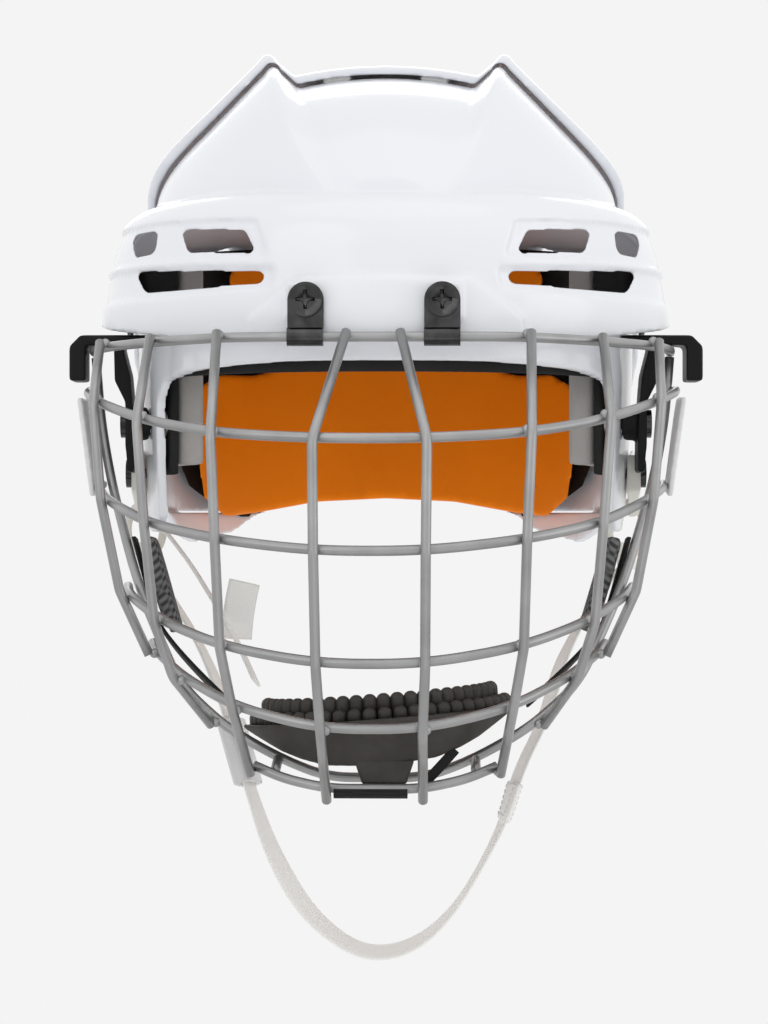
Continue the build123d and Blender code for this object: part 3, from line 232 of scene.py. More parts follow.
# %% Foam, rubber and woven finishes
finish("black_foam", grey(0.022), grey(0.015), 0.85, shine=0.3,
       scale=1500.0, depth=0.45, patches=60.0)
finish("grey_foam", (0.46, 0.44, 0.42), (0.40, 0.385, 0.37), 0.80, shine=0.3,
       scale=1500.0, depth=0.45, patches=60.0)
finish("orange_foam", (1.0, 0.245, 0.002), (0.94, 0.225, 0.002), 0.60, shine=0.12,
       scale=1300.0, depth=0.25, patches=25.0)
finish("cup_rubber", (0.056, 0.051, 0.046), (0.036, 0.032, 0.028), 0.50, shine=0.35,
       scale=1100.0, depth=0.25, patches=90.0)
# The woven finishes are darker where their threads lie low: painted shade between the threads.
finish("white_webbing", (0.99, 0.98, 0.95), (0.95, 0.935, 0.90), 0.75, group=weave,
       pitch=0.0012, depth=0.10)
finish("black_webbing", grey(0.018), grey(0.008), 0.72, shine=0.25, group=weave,
       pitch=0.0012, depth=0.5)
finish("mesh", grey(0.17), grey(0.035), 0.80, group=weave, pitch=0.0030, depth=0.9)
milky_shader = finish("milky_plastic", grey(0.90), grey(0.86), 0.28, coat=0.3,
                      scale=900.0, depth=0.04, patches=50.0)
milky_share = 0.45
milky_shader.inputs["Transmission Weight"].default_value = milky_share
print("all finishes", len(finishes))

# %% [markdown]
# ## Hard pieces
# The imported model's triangles are loose, so a curved wall shows its facets. A copy with merged
# corners shades smoothly over gentle turns and stays crisp at real edges, and the copy then
# stands for the node.

# %% Helpers for pieces
merge_distance = 2e-6


def linked(name, mesh):
    piece = bpy.data.objects.new(name, mesh)
    bpy.context.scene.collection.objects.link(piece)
    return piece


def shade_smooth(piece):
    for face in piece.data.polygons:
        face.use_smooth = True


def applied(piece):
    """The piece's mesh with its modifiers worked in, and the modifiers gone."""
    bpy.context.view_layer.update()
    depsgraph = bpy.context.evaluated_depsgraph_get()
    mesh = bpy.data.meshes.new_from_object(piece.evaluated_get(depsgraph))
    piece.modifiers.clear()
    old, piece.data = piece.data, mesh
    bpy.data.meshes.remove(old)
    return piece


def seamless_copy(node, name):
    """A copy of a node with its loose triangles merged into closed solids."""
    mesh = nodes[node].data.copy()
    mesh.name = name
    work = bmesh.new()
    work.from_mesh(mesh)
    bmesh.ops.remove_doubles(work, verts=work.verts, dist=merge_distance)
    work.to_mesh(mesh)
    work.free()
    mesh.materials.clear()
    return linked(name, mesh)


def dress(piece, node, material=None):
    """The piece takes its finish, rides with the node's body and stands for the node."""
    piece.data.materials.clear()
    piece.data.materials.append(finishes[material or slots[node]])
    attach(piece, body_of[node])
    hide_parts(node)
    return piece


def add_to_body(piece, body, slot):
    """A piece that stands for no node takes its finish and rides with a body."""
    piece.data.materials.append(finishes[slot])
    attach(piece, body)


print("piece helpers ready")

# %% Wires and fasteners with smooth shading
def smooth_copy(node, angle, name=None):
    """A copy that shades smoothly and stays crisp at edges sharper than the angle."""
    piece = seamless_copy(node, name or node + "_smooth")
    shade_smooth(piece)
    piece.data.set_sharp_from_angle(angle=math.radians(angle))
    return piece


crossed_wires = ("brow_wire", "upper_cross_wire", "middle_cross_wire", "lower_cross_wire",
                 "chin_cross_wire", "bottom_wire", "frame_wire")
wires = crossed_wires + ("vertical_bars", "tie_wires")
fasteners = ("cage_clips", "clip_screws", "size_screws")
wire_angle, fastener_angle = 50, 32
for members, angle in ((wires, wire_angle), (fasteners, fastener_angle)):
    for node in members:
        piece = dress(smooth_copy(node, angle), node)
        print(node, len(piece.data.polygons), "faces")

# %% [markdown]
# Moulded plastic has no sharp edge: the mould's corners are rounded by half a millimetre or
# more. A fine voxel remesh followed by smoothing rounds every edge alike, inside and out, where
# a bevel would trip over the small cuts. The shells keep a third of those many faces, and they are
# drawn in by a quarter of a millimetre, so that the bars of the lifted cage pass them.

# %% Rounded plastic mouldings
shell_face_share, cage_room = 0.32, 0.00025


def even_faces(piece, voxel):
    """Adds the remesh that turns the solid into even faces of the voxel's size."""
    remesh = piece.modifiers.new("even faces", "REMESH")
    remesh.mode = "VOXEL"
    remesh.voxel_size = voxel
    remesh.use_smooth_shade = True


def rounded_copy(node, voxel, passes, name=None):
    """A copy with every edge rounded: more passes over coarser voxels round it more."""
    piece = seamless_copy(node, name or node + "_moulded")
    even_faces(piece, voxel)
    relax = piece.modifiers.new("rounded edges", "SMOOTH")
    relax.factor = 0.5
    relax.iterations = passes
    if node.endswith("_shell"):
        fewer = piece.modifiers.new("fewer faces", "DECIMATE")
        fewer.ratio = shell_face_share
        clearance = piece.modifiers.new("room for the cage", "DISPLACE")
        clearance.mid_level = 0.0
        clearance.strength = -cage_room
    applied(piece)
    shade_smooth(piece)
    return piece


# Each node with its voxel size and its number of smoothing passes
mouldings = (
    ("side_clip_left", 0.0007, 9), ("side_clip_right", 0.0007, 9),
    ("ear_loop_left", 0.0006, 5), ("ear_loop_right", 0.0006, 5),
    ("side_plate_left", 0.0007, 4), ("side_plate_right", 0.0007, 4),
    ("strap_slider", 0.0006, 4),
    ("chin_cup", 0.0008, 4),
    ("front_shell", 0.0009, 9), ("rear_shell", 0.0009, 9),
)
for node, voxel, passes in mouldings:
    material = "milky_plastic" if node == "strap_slider" else None
    piece = dress(rounded_copy(node, voxel, passes), node, material)
    print(node, len(piece.data.polygons), "faces")

# %% [markdown]
# The rubber of the chin cup stands in two rows of round-topped knuckles that grip the chin. The
# pad under them is the node's own solid, cut off below their tops.

# %% Chin cup pad, cut off below the knuckles
cage_turn = Matrix.Rotation(math.radians(-2.0), 4, "Z")
cup_top, cup_tilt, pad_top, pad_voxel = -0.063, -4.5, -0.0752, 0.0008
cup_place = (cage_turn @ Matrix.Translation((0, 0, cup_top))
             @ Matrix.Rotation(math.radians(cup_tilt), 4, "Y")
             @ Matrix.Translation((0, 0, -cup_top)))
piece = seamless_copy("chin_cup_pad", "chin_cup_pad_moulded")
work = bmesh.new()
work.from_mesh(piece.data)
bmesh.ops.bisect_plane(work, geom=work.verts[:] + work.edges[:] + work.faces[:], dist=1e-7,
                       plane_co=cup_place @ Vector((0, 0, pad_top)),
                       plane_no=cup_place.to_3x3() @ Vector((0, 0, 1)), clear_outer=True)
bmesh.ops.holes_fill(work, edges=work.edges[:])
work.to_mesh(piece.data)
work.free()
even_faces(piece, pad_voxel)
applied(piece)
shade_smooth(piece)
dress(piece, "chin_cup_pad")
print("cup pad faces", len(piece.data.polygons))

# %% The two rows of knuckles
knuckle_radius, knuckle_foot, knuckle_count = 0.0027, -0.0765, 26
knuckle_sides, dome_steps = 16, 6
row_middle = -0.084
# Each row's half width, its reach ahead of the middle and the height of its tops
rows = ((0.0462, 0.0322, -0.0705), (0.0414, 0.0274, -0.0658))


def add_knuckle(work, centre, top):
    """A round-topped post on the cup pad, with its foot inside the pad."""
    profile = [(knuckle_radius, knuckle_foot)]
    for step in range(dome_steps):
        lean = math.pi / 2 * step / dome_steps
        profile.append((knuckle_radius * math.cos(lean),
                        top + knuckle_radius * (math.sin(lean) - 1)))
    levels = []
    for radius, height in profile:
        levels.append([work.verts.new(cup_place @ (centre + Vector((
            radius * math.cos(2 * math.pi * side / knuckle_sides),
            radius * math.sin(2 * math.pi * side / knuckle_sides), height))))
            for side in range(knuckle_sides)])
    for low, high in zip(levels, levels[1:]):
        for side in range(knuckle_sides):
            other = (side + 1) % knuckle_sides
            work.faces.new((low[side], low[other], high[other], high[side]))
    work.faces.new(levels[0][::-1])
    work.faces.new(levels[-1])


work = bmesh.new()
for across, deep, top in rows:
    for index in range(knuckle_count):
        angle = math.pi * (index + 0.5) / knuckle_count
        spot = Vector((across * math.cos(angle), row_middle - deep * math.sin(angle), 0))
        add_knuckle(work, spot, top)
knuckle_mesh = bpy.data.meshes.new("chin_cup_knuckles")
work.to_mesh(knuckle_mesh)
work.free()
knuckles = linked("chin_cup_knuckles", knuckle_mesh)
shade_smooth(knuckles)
add_to_body(knuckles, "cage", "cup_rubber")
print("knuckle faces", len(knuckle_mesh.polygons))

# %% [markdown]
# ## Foam
# The lining is closed-cell foam cut from sheet and moulded, so its edges are soft and its faces
# swell a little. The same remesh with a coarser voxel and more smoothing gives that look, and
# each pad keeps the place of its solid. The thin backing at the rear would turn ragged that way,
# so it only gets smooth shading.

# %% Foam pads
# Each pad with its voxel size and its number of smoothing passes
foam_pieces = {
    "brow_liner": (0.0010, 4), "forehead_pad": (0.0018, 8), "temple_liner_left": (0.0012, 5),
    "temple_liner_right": (0.0012, 5), "temple_pad_left": (0.0014, 10),
    "temple_pad_right": (0.0014, 10), "crown_pad": (0.0018, 10),
    "rear_crown_pad": (0.0018, 10), "occipital_pad": (0.0014, 8),
}
for node, (voxel, passes) in foam_pieces.items():
    piece = rounded_copy(node, voxel, passes, node + "_foam")
    dress(piece, node)
    print(node, len(piece.data.polygons), "faces")

backing_angle = 35
piece = smooth_copy("occipital_backing", backing_angle, "occipital_backing_foam")
dress(piece, "occipital_backing")

# %% [markdown]
# The pads at the cheeks are sewn pockets of spacer mesh around thin foam, so they do swell like a
# cushion. Cloth with a little pressure inflates the rounded copy, and no point moves further than
# about a millimetre.

# %% Helpers for the cheek pads
swell_frames = 12


def inflated(piece, pressure, most):
    """Runs a short cloth simulation with pressure and keeps moves up to the given length."""
    start = [vertex.co.copy() for vertex in piece.data.vertices]
    cloth = piece.modifiers.new("swell", "CLOTH")
    cloth.settings.use_pressure = True
    cloth.settings.uniform_pressure_force = pressure
    cloth.settings.effector_weights.gravity = 0.0
    for step in range(1, swell_frames + 1):
        bpy.context.scene.frame_set(step)
    applied(piece)
    bpy.context.scene.frame_set(1)
    for vertex, was in zip(piece.data.vertices, start):
        move = vertex.co - was
        if move.length > most:
            vertex.co = was + move * (most / move.length)


def length_map(piece, first, last):
    """A UV map in metres: along the line from first to last, and across it."""
    line = (last - first).normalized()
    side = Vector((0, 1, 0))
    side = (side - line * side.dot(line)).normalized()
    layer = piece.data.uv_layers.new(name="strap")
    for loop in piece.data.loops:
        reach = piece.data.vertices[loop.vertex_index].co - first
        layer.data[loop.index].uv = (reach.dot(line), reach.dot(side))


print("cheek pad helpers ready")

# %% Cheek pads, inflated as cloth
pad_top_end, pad_low_end = (0.09, -0.06, -0.01), (0.06, -0.07, -0.05)
cheek_voxel, cheek_passes = 0.0020, 3

for side, sign in (("left", 1), ("right", -1)):
    node = "cheek_pad_" + side
    piece = rounded_copy(node, cheek_voxel, cheek_passes, node + "_mesh")
    inflated(piece, pressure=2.5, most=0.0012)
    shade_smooth(piece)
    ends = [Vector((sign * x, y, z)) for x, y, z in (pad_top_end, pad_low_end)]
    length_map(piece, *ends)
    dress(piece, node)
    print(node, len(piece.data.polygons), "faces")

# %% [markdown]
# ## Woven straps
# A strap is a flat band of even width that follows a smooth line and twists as it hangs. Each one
# here is built along a NURBS line that follows the strap's route, with its own map in metres so
# that the threads keep their size.

# %% A smooth line through a route
def smooth_line(points):
    """The points of a smooth curve that follows a route, read from the curve itself."""
    data = bpy.data.curves.new("route", "CURVE")
    data.dimensions = "3D"
    data.resolution_u = 16
    spline = data.splines.new("NURBS")
    spline.points.add(len(points) - 1)
    for point, place in zip(spline.points, points):
        point.co = (*place, 1)
    spline.order_u = 3
    spline.use_endpoint_u = True
    carrier = bpy.data.objects.new("route", data)
    bpy.context.scene.collection.objects.link(carrier)
    bpy.context.view_layer.update()
    mesh = bpy.data.meshes.new_from_object(
        carrier.evaluated_get(bpy.context.evaluated_depsgraph_get()))
    line = [vertex.co.copy() for vertex in mesh.vertices]
    bpy.data.meshes.remove(mesh)
    bpy.data.objects.remove(carrier)
    return line


def frames(points, twist=lambda share: 0.0, hint=(0, 1, 0)):
    """Places along a route, each with its direction, width direction, share and reach."""
    line = smooth_line(points)
    reaches = [0.0]
    for before, here in zip(line, line[1:]):
        reaches.append(reaches[-1] + (here - before).length)
    flat, last, found = Vector(hint), None, []
    for index, place in enumerate(line):
        ahead = (line[min(index + 1, len(line) - 1)] - line[max(index - 1, 0)]).normalized()
        if last is not None:
            flat.rotate(last.rotation_difference(ahead))
        flat = (flat - ahead * flat.dot(ahead)).normalized()
        last = ahead
        share = reaches[index] / reaches[-1]
        wide = flat.copy()
        wide.rotate(Matrix.Rotation(math.radians(twist(share)), 3, ahead))
        found.append((place, ahead, wide, share, reaches[index]))
    return found


print("route helpers ready")

# %% A band along a route
band_stations, edge_fall, edge_power = 9, 0.55, 8


def band(name, points, width, thickness, twist=lambda share: 0.0, hint=(0, 1, 0),
         span=(0.0, 1.0)):
    """A woven band along a route, or along a span of shares of it.

    twist gives its turn in degrees along its length, and hint is about where its width points.
    Its edges are thinner than its middle, as a woven edge is.
    """
    work = bmesh.new()
    layer = work.loops.layers.uv.new("strap")
    rings, spans = [], []
    for place, ahead, wide, share, reached in frames(points, twist, hint):
        if not span[0] <= share <= span[1]:
            continue
        spans.append(reached)
        thick = ahead.cross(wide)
        ring = []
        for side in (1, -1):
            for station in range(band_stations):
                across = (1 - 2 * station / (band_stations - 1)) * side
                height = thickness / 2 * (1 - edge_fall * abs(across) ** edge_power) * side
                reach = across * width / 2
                ring.append((work.verts.new(place + wide * reach + thick * height), reach))
        rings.append(ring)
    count = 2 * band_stations
    for index, (ring, after) in enumerate(zip(rings, rings[1:])):
        for station in range(count):
            other = (station + 1) % count
            corners = (ring[station], ring[other], after[other], after[station])
            face = work.faces.new([corner[0] for corner in corners])
            face.smooth = True
            reaches = (spans[index], spans[index], spans[index + 1], spans[index + 1])
            for loop, corner, reach in zip(face.loops, corners, reaches):
                loop[layer].uv = (reach, corner[1])
    work.faces.new([corner[0] for corner in rings[0]][::-1])
    work.faces.new([corner[0] for corner in rings[-1]])
    bmesh.ops.recalc_face_normals(work, faces=work.faces)
    mesh = bpy.data.meshes.new(name)
    work.to_mesh(mesh)
    work.free()
    print(name, "length", round(spans[-1] - spans[0], 4), "m")
    return linked(name, mesh)


print("band helper ready")

# %% The chin strap
strap_width, strap_thickness = 0.015, 0.0014
strap_route = [
    (-0.094, -0.012, -0.0206), (-0.073, -0.037, -0.047), (-0.0595, -0.058, -0.078),
    (-0.0518, -0.064, -0.104), (-0.0425, -0.065, -0.131), (-0.027, -0.064, -0.156),
    (-0.004, -0.063, -0.170), (0.0215, -0.064, -0.1585), (0.0435, -0.065, -0.121),
    (0.050, -0.0635, -0.098), (0.061, -0.056, -0.078), (0.0705, -0.037, -0.047),
    (0.094, -0.012, -0.0206),
]
twist_reach, twist_most = 0.12, 9.0


def strap_twist(share):
    """Flat where it runs through the slider and the sewn lap, turned out a little below."""
    lower = max(0.0, 1 - abs(abs(share - 0.5) - twist_reach) / twist_reach)
    turn = twist_most if share < 0.5 else -twist_most
    return turn * (3 - 2 * lower) * lower ** 2


piece = band("chin_strap_woven", strap_route, strap_width, strap_thickness, strap_twist)
dress(piece, "chin_strap")

# %% The sewn lap, the branch and the tail
lap_width, lap_thickness = 0.0154, 0.0030
lap_middle, lap_half = Vector((0.04675, -0.06425, -0.1095)), 0.021
thin_width, thin_thickness = 0.012, 0.0012
branch_route = [(-0.0879, -0.033, -0.005), (-0.078, -0.031, -0.017), (-0.066, -0.037, -0.036),
                (-0.057, -0.043, -0.050), (-0.050, -0.051, -0.065)]
tail_route = [(-0.0578, -0.0409, -0.049), (-0.0574, -0.042, -0.039), (-0.0545, -0.044, -0.027)]

strap_frames = frames(strap_route, strap_twist)
lap_share = min(strap_frames, key=lambda spot: (spot[0] - lap_middle).length)[3]
piece = band("strap_lap_woven", strap_route, lap_width, lap_thickness, strap_twist,
             span=(lap_share - lap_half, lap_share + lap_half))
dress(piece, "strap_keeper")
piece = band("strap_branch_woven", branch_route, thin_width, thin_thickness)
dress(piece, "strap_branch")
piece = band("strap_tail_woven", tail_route, thin_width, thin_thickness, hint=(1, 0, 0))
dress(piece, "strap_tail")

# %% The folds of the strap around the ear loops
fold_width, fold_across = 0.0070, 0.0953
fold_profile = [(-0.0152, -0.0225), (-0.0158, -0.0170), (-0.0120, -0.0112), (-0.0082, -0.0170),
                (-0.0088, -0.0225)]
for side, across in (("left", fold_across), ("right", -fold_across)):
    fold_route = [(across, reach, height) for reach, height in fold_profile]
    piece = band("strap_fold_" + side, fold_route, fold_width, thin_thickness, hint=(1, 0, 0))
    add_to_body(piece, "front", "white_webbing")

# %% The cheek straps
cheek_thickness = 0.0016
cheek_route = ((0.094, -0.0576, -0.010), (0.0885, -0.060, -0.030), (0.082, -0.064, -0.049),
               (0.0568, -0.0835, -0.070))
for side, sign in (("left", 1), ("right", -1)):
    route = [tuple(cage_turn @ Vector((sign * x, y, z))) for x, y, z in cheek_route]
    piece = band("cheek_strap_" + side + "_woven", route, thin_width, cheek_thickness)
    dress(piece, "cheek_strap_" + side)

# %% [markdown]
# A wide strap ties the chin cup to the lowest wire. Its solid has the right shape, so it only
# takes a map for the threads. A thin web crosses beside it, and the cup's rubber tongue reaches
# down behind the wire.

# %% The strap and the thin web below the chin cup
tie_low_end, tie_high_end = (-0.012, -0.118, -0.0998), (-0.012, -0.1, -0.08)
tie_crisp_angle = 40
web_width, web_thickness = 0.0036, 0.0014
web_spots = ((0.0290, -0.1125, -0.0860), (0.0225, -0.1140, -0.0935), (0.0150, -0.1140, -0.1010))

piece = seamless_copy("chin_cup_strap", "chin_cup_strap_woven")
length_map(piece, Vector(tie_low_end), Vector(tie_high_end))
shade_smooth(piece)
piece.data.set_sharp_from_angle(angle=math.radians(tie_crisp_angle))
dress(piece, "chin_cup_strap")
web_route = [tuple(cage_turn @ Vector(spot)) for spot in web_spots]
web = band("chin_cup_web_woven", web_route, web_width, web_thickness, hint=(1, 0, 0))
add_to_body(web, "cage", "black_webbing")

# %% The rubber tongue of the chin cup
tongue_middle, tongue_thickness = (0.0033, -0.1153), 0.0030
# The tongue's width and height at its low and its high end
tongue_levels = {"low": (0.0160, -0.0985), "high": (0.0220, -0.0895)}
tongue_rounding = 0.0012

tongue_mesh = bpy.data.meshes.new("chin_cup_tongue")
work = bmesh.new()
bmesh.ops.create_cube(work, size=1.0)
for vertex in work.verts:
    width, height = tongue_levels["low" if vertex.co.z < 0 else "high"]
    vertex.co = cage_turn @ Vector((tongue_middle[0] + vertex.co.x * width,
                                    tongue_middle[1] + vertex.co.y * tongue_thickness, height))
bmesh.ops.bevel(work, geom=work.edges[:], offset=tongue_rounding, segments=4, profile=0.5,
                affect="EDGES")
work.to_mesh(tongue_mesh)
work.free()
tongue = linked("chin_cup_tongue", tongue_mesh)
shade_smooth(tongue)
add_to_body(tongue, "cage", "cup_rubber")
print("tongue faces", len(tongue_mesh.polygons))

# %% [markdown]
# ## Welds
# Where a bar crosses a cross wire, the two are resistance-welded and a small collar of metal
# fills the corner. There are dozens, so Geometry Nodes put one rounded nugget on each crossing.

# %% Find the crossings
touch_reach, weld_spacing = 0.0009, 0.006


def crossings(first, second):
    """The middles of the places where two wire nodes nearly touch."""
    tree = KDTree(len(second.data.vertices))
    for index, vertex in enumerate(second.data.vertices):
        tree.insert(vertex.co, index)
    tree.balance()
    found = []
    for vertex in first.data.vertices:
        other, index, distance = tree.find(vertex.co)
        if distance < touch_reach:
            middle = (vertex.co + other) / 2
            if all((middle - spot).length > weld_spacing for spot in found):
                found.append(middle)
    return found


weld_places = []
for wire in crossed_wires:
    weld_places += crossings(nodes["vertical_bars"], nodes[wire])
print("welds", len(weld_places))

# %% Helpers for geometry trees
def new_tree(name, floats):
    """An empty geometry tree with a mesh in and out, a finish and the given sizes."""
    tree = bpy.data.node_groups.new(name, "GeometryNodeTree")
    tree.interface.new_socket("Geometry", in_out="INPUT", socket_type="NodeSocketGeometry")
    for label, value in floats.items():
        socket = tree.interface.new_socket(label, in_out="INPUT", socket_type="NodeSocketFloat")
        socket.default_value = value
    tree.interface.new_socket("Material", in_out="INPUT", socket_type="NodeSocketMaterial")
    tree.interface.new_socket("Geometry", in_out="OUTPUT", socket_type="NodeSocketGeometry")
    return tree, tree.nodes.new("NodeGroupInput"), tree.nodes.new("NodeGroupOutput")


def from_tree(piece, tree, **values):
    """Runs a node tree on a piece, with inputs given by name, and keeps the result."""
    modifier = piece.modifiers.new(tree.name, "NODES")
    modifier.node_group = tree
    sockets = {item.name.lower(): item.identifier
               for item in tree.interface.items_tree if item.in_out == "INPUT"}
    for name, value in values.items():
        modifier[sockets[name]] = value
    applied(piece)
    piece.data.materials.clear()
    piece.data.materials.append(values["material"])
    for face in piece.data.polygons:
        face.material_index = 0
    return piece


print("tree helpers ready")

# %% A nugget on every crossing
def nugget_tree():
    tree, source, sink = new_tree("weld_nuggets", {"Radius": 0.0019, "Flatness": 0.75})
    ball = tree.nodes.new("GeometryNodeMeshIcoSphere")
    ball.inputs["Subdivisions"].default_value = 3
    shade = tree.nodes.new("GeometryNodeSetShadeSmooth")
    spread = tree.nodes.new("GeometryNodeInstanceOnPoints")
    size = tree.nodes.new("ShaderNodeCombineXYZ")
    size.inputs[0].default_value = size.inputs[2].default_value = 1.0
    real = tree.nodes.new("GeometryNodeRealizeInstances")
    paint = tree.nodes.new("GeometryNodeSetMaterial")
    for start, end in (
        (source.outputs["Radius"], ball.inputs["Radius"]),
        (ball.outputs["Mesh"], shade.inputs["Geometry"]),
        (source.outputs["Geometry"], spread.inputs["Points"]),
        (shade.outputs["Geometry"], spread.inputs["Instance"]),
        (source.outputs["Flatness"], size.inputs[1]),
        (size.outputs["Vector"], spread.inputs["Scale"]),
        (spread.outputs["Instances"], real.inputs["Geometry"]),
        (real.outputs["Geometry"], paint.inputs["Geometry"]),
        (source.outputs["Material"], paint.inputs["Material"]),
        (paint.outputs["Geometry"], sink.inputs["Geometry"]),
    ):
        tree.links.new(start, end)
    return tree


weld_points = bpy.data.meshes.new("welds")
weld_points.from_pydata([tuple(spot) for spot in weld_places], [], [])
welds = from_tree(linked("welds", weld_points), nugget_tree(), radius=0.0018,
                  material=finishes["wire"])
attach(welds, "cage")
print("weld faces", len(welds.data.polygons))

# %% [markdown]
# ## Stitches
# The strap is folded at each ear loop and sewn in a box, and so is its lap. Each stitch is a
# short round thread, and a tree lays one on every step of a row.

# %% A tree that sews a row of stitches
def stitch_tree():
    tree, source, sink = new_tree("stitch_rows",
                                  {"Spacing": 0.0022, "Length": 0.0015, "Thread": 0.00025})
    rows = tree.nodes.new("GeometryNodeMeshToCurve")
    steps = tree.nodes.new("GeometryNodeResampleCurve")
    steps.mode = "LENGTH"
    tangent = tree.nodes.new("GeometryNodeInputTangent")
    face = tree.nodes.new("FunctionNodeAlignRotationToVector")
    face.axis = "Z"
    thread = tree.nodes.new("GeometryNodeMeshCylinder")
    thread.inputs["Vertices"].default_value = 8
    spread = tree.nodes.new("GeometryNodeInstanceOnPoints")
    real = tree.nodes.new("GeometryNodeRealizeInstances")
    paint = tree.nodes.new("GeometryNodeSetMaterial")
    for start, end in (
        (source.outputs["Geometry"], rows.inputs["Mesh"]),
        (rows.outputs["Curve"], steps.inputs["Curve"]),
        (source.outputs["Spacing"], steps.inputs["Length"]),
        (tangent.outputs["Tangent"], face.inputs["Vector"]),
        (source.outputs["Thread"], thread.inputs["Radius"]),
        (source.outputs["Length"], thread.inputs["Depth"]),
        (steps.outputs["Curve"], spread.inputs["Points"]),
        (thread.outputs["Mesh"], spread.inputs["Instance"]),
        (face.outputs["Rotation"], spread.inputs["Rotation"]),
        (spread.outputs["Instances"], real.inputs["Geometry"]),
        (real.outputs["Geometry"], paint.inputs["Geometry"]),
        (source.outputs["Material"], paint.inputs["Material"]),
        (paint.outputs["Geometry"], sink.inputs["Geometry"]),
    ):
        tree.links.new(start, end)
    return tree


sewing = stitch_tree()
print("stitch tree nodes", len(sewing.nodes))

# %% Sewn boxes at both ends of the chin strap and on its lap
box_start, box_length, box_half = 0.002, 0.010, 0.0055
strap_face, lap_face, lap_sewn_share = 0.0008, 0.0016, 0.85


def sewn_box(start, ahead, wide, face_gap):
    """The corners of a rectangle of stitches on one face of a strap."""
    thick = ahead.cross(wide) * face_gap
    return [start + ahead * reach + wide * side + thick
            for reach, side in ((0, -box_half), (box_length, -box_half),
                                (box_length, box_half), (0, box_half))]


corners, edges = [], []
for first, second in ((strap_route[0], strap_route[1]), (strap_route[-1], strap_route[-2])):
    ahead = (Vector(second) - Vector(first)).normalized()
    wide = (Vector((0, 1, 0)) - ahead * ahead.y).normalized()
    for face_gap in (strap_face, -strap_face):
        base = len(corners)
        corners += sewn_box(Vector(first) + ahead * box_start, ahead, wide, face_gap)
        edges += [(base, base + 1), (base + 1, base + 2), (base + 2, base + 3), (base + 3, base)]
sewn_reach = lap_half * lap_sewn_share
lap_frames = [spot for spot in strap_frames if abs(spot[3] - lap_share) < sewn_reach]
for face_gap in (lap_face, -lap_face):
    base = len(corners)
    for half, spots in ((box_half, lap_frames), (-box_half, lap_frames[::-1])):
        corners += [place + wide * half + ahead.cross(wide) * face_gap
                    for place, ahead, wide, share, reached in spots]
    edges += [(index, index + 1) for index in range(base, len(corners) - 1)]
    edges.append((len(corners) - 1, base))
row_mesh = bpy.data.meshes.new("strap_stitches")
row_mesh.from_pydata([tuple(corner) for corner in corners], edges, [])
stitches = from_tree(linked("strap_stitches", row_mesh), sewing,
                     material=finishes["white_plastic"])
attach(stitches, "front")
print("stitch faces", len(stitches.data.polygons))

# %% [markdown]
# ## Finish for the nodes that stay
# Nuts, washers and side screws have the right shape already, so they only take their finish.

# %% Finish the remaining nodes
for node, piece in nodes.items():
    piece.data.materials.clear()
    piece.data.materials.append(finishes[slots[node]])
print("finished nodes", len(nodes))

# %% [markdown]
# ## Light
# The photograph has the even light of a white studio: a bright surround, large soft lamps above,
# in front and below, and smaller ones from the right and behind that draw the edges of the shell.

# %% Lamps
def soft_lamp(name, place, aim, size, power):
    data = bpy.data.lights.new(name, "AREA")
    data.shape = "DISK"
    data.size = size
    data.energy = power
    lamp = bpy.data.objects.new(name, data)
    lamp.location = place
    lamp.rotation_euler = (Vector(aim) - Vector(place)).to_track_quat("-Z", "Y").to_euler()
    bpy.context.scene.collection.objects.link(lamp)


# Each lamp's name, place, aim, size in metres and power in watts
lamps = (
    ("lamp_top", (0.0, -0.5, 1.3), (0, 0, 0.05), 1.4, 1.6),
    ("lamp_front", (-0.7, -1.4, 0.5), (0, 0, 0), 1.0, 1.6),
    ("lamp_right", (1.2, -0.5, 0.2), (0, 0, 0), 0.8, 1.2),
    ("lamp_low", (0.2, -1.1, -0.8), (0, 0, -0.05), 1.2, 1.5),
    ("lamp_back", (0.0, 1.2, 0.6), (0, 0.1, 0.05), 0.9, 2.5),
)
for name, place, aim, size, power in lamps:
    soft_lamp(name, place, aim, size, power)
print("lamps", len(lamps))

# %% [markdown]
# The surround is a plain pale grey to the eye and in mirrors and clear plastic. A mirror sees it
# darker below the horizon and a little brighter above, as in a room with a dark floor.

# %% World
backdrop_level, lit_strength, seen_extra = 0.905, 0.88, 0.12
mirror_slope, mirror_darkest, mirror_brightest = 0.55, -0.45, 0.12

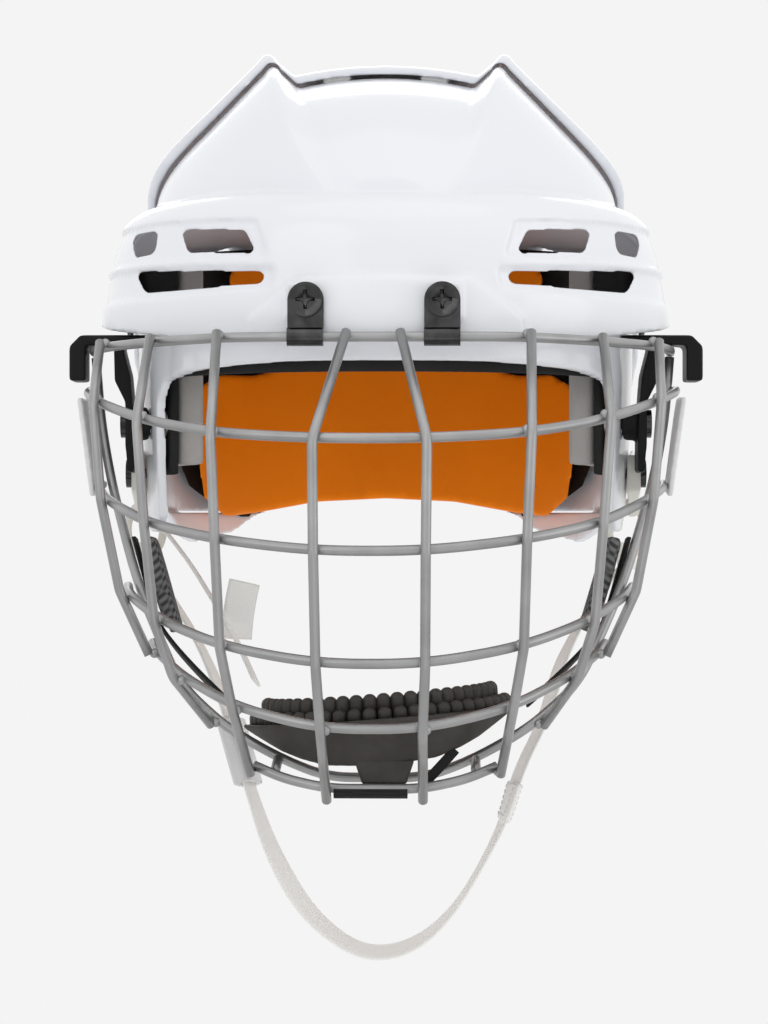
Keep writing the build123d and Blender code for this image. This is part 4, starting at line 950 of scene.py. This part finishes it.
world = bpy.data.worlds.new("studio")
bpy.context.scene.world = world
world.use_nodes = True
sky = world.node_tree.nodes["Background"]
sky.inputs["Color"].default_value = (*grey(backdrop_level), 1)
rays = world.node_tree.nodes.new("ShaderNodeLightPath")
bounced = link_math(world.node_tree, "MAXIMUM", rays.outputs["Is Glossy Ray"],
                    rays.outputs["Is Transmission Ray"])
seen = link_math(world.node_tree, "MAXIMUM", rays.outputs["Is Camera Ray"], bounced)
extra = link_math(world.node_tree, "MULTIPLY", seen, seen_extra)
level = link_math(world.node_tree, "ADD", extra, lit_strength)
way = world.node_tree.nodes.new("ShaderNodeTexCoord")
heights = world.node_tree.nodes.new("ShaderNodeSeparateXYZ")
world.node_tree.links.new(way.outputs["Generated"], heights.inputs[0])
upward = link_math(world.node_tree, "MULTIPLY", heights.outputs["Z"], mirror_slope)
room = link_math(world.node_tree, "MINIMUM", mirror_brightest, upward)
room = link_math(world.node_tree, "MAXIMUM", mirror_darkest, room)
mirrored = link_math(world.node_tree, "MULTIPLY", rays.outputs["Is Glossy Ray"], room)
level = link_math(world.node_tree, "ADD", level, mirrored)
world.node_tree.links.new(level, sky.inputs["Strength"])
print("backdrop", backdrop_level)

# %% Floor
floor_corners, floor_radius, floor_height = 96, 0.50, -0.31
paper_level, paper_roughness = 0.86, 0.9

angles = [2 * math.pi * step / floor_corners for step in range(floor_corners)]
rim = [(floor_radius * math.cos(angle), floor_radius * math.sin(angle), floor_height)
       for angle in angles]
floor_mesh = bpy.data.meshes.new("floor")
floor_mesh.from_pydata(rim, [], [tuple(range(floor_corners))])
floor = linked("floor", floor_mesh)
paper = bpy.data.materials.new("floor_paper")
paper.use_nodes = True
paper_shader = paper.node_tree.nodes["Principled BSDF"]
paper_shader.inputs["Base Color"].default_value = (*grey(paper_level), 1)
paper_shader.inputs["Roughness"].default_value = paper_roughness
floor_mesh.materials.append(paper)
print("floor at", floor_height)

# %% The view transform
bpy.context.scene.view_settings.view_transform = "Standard"
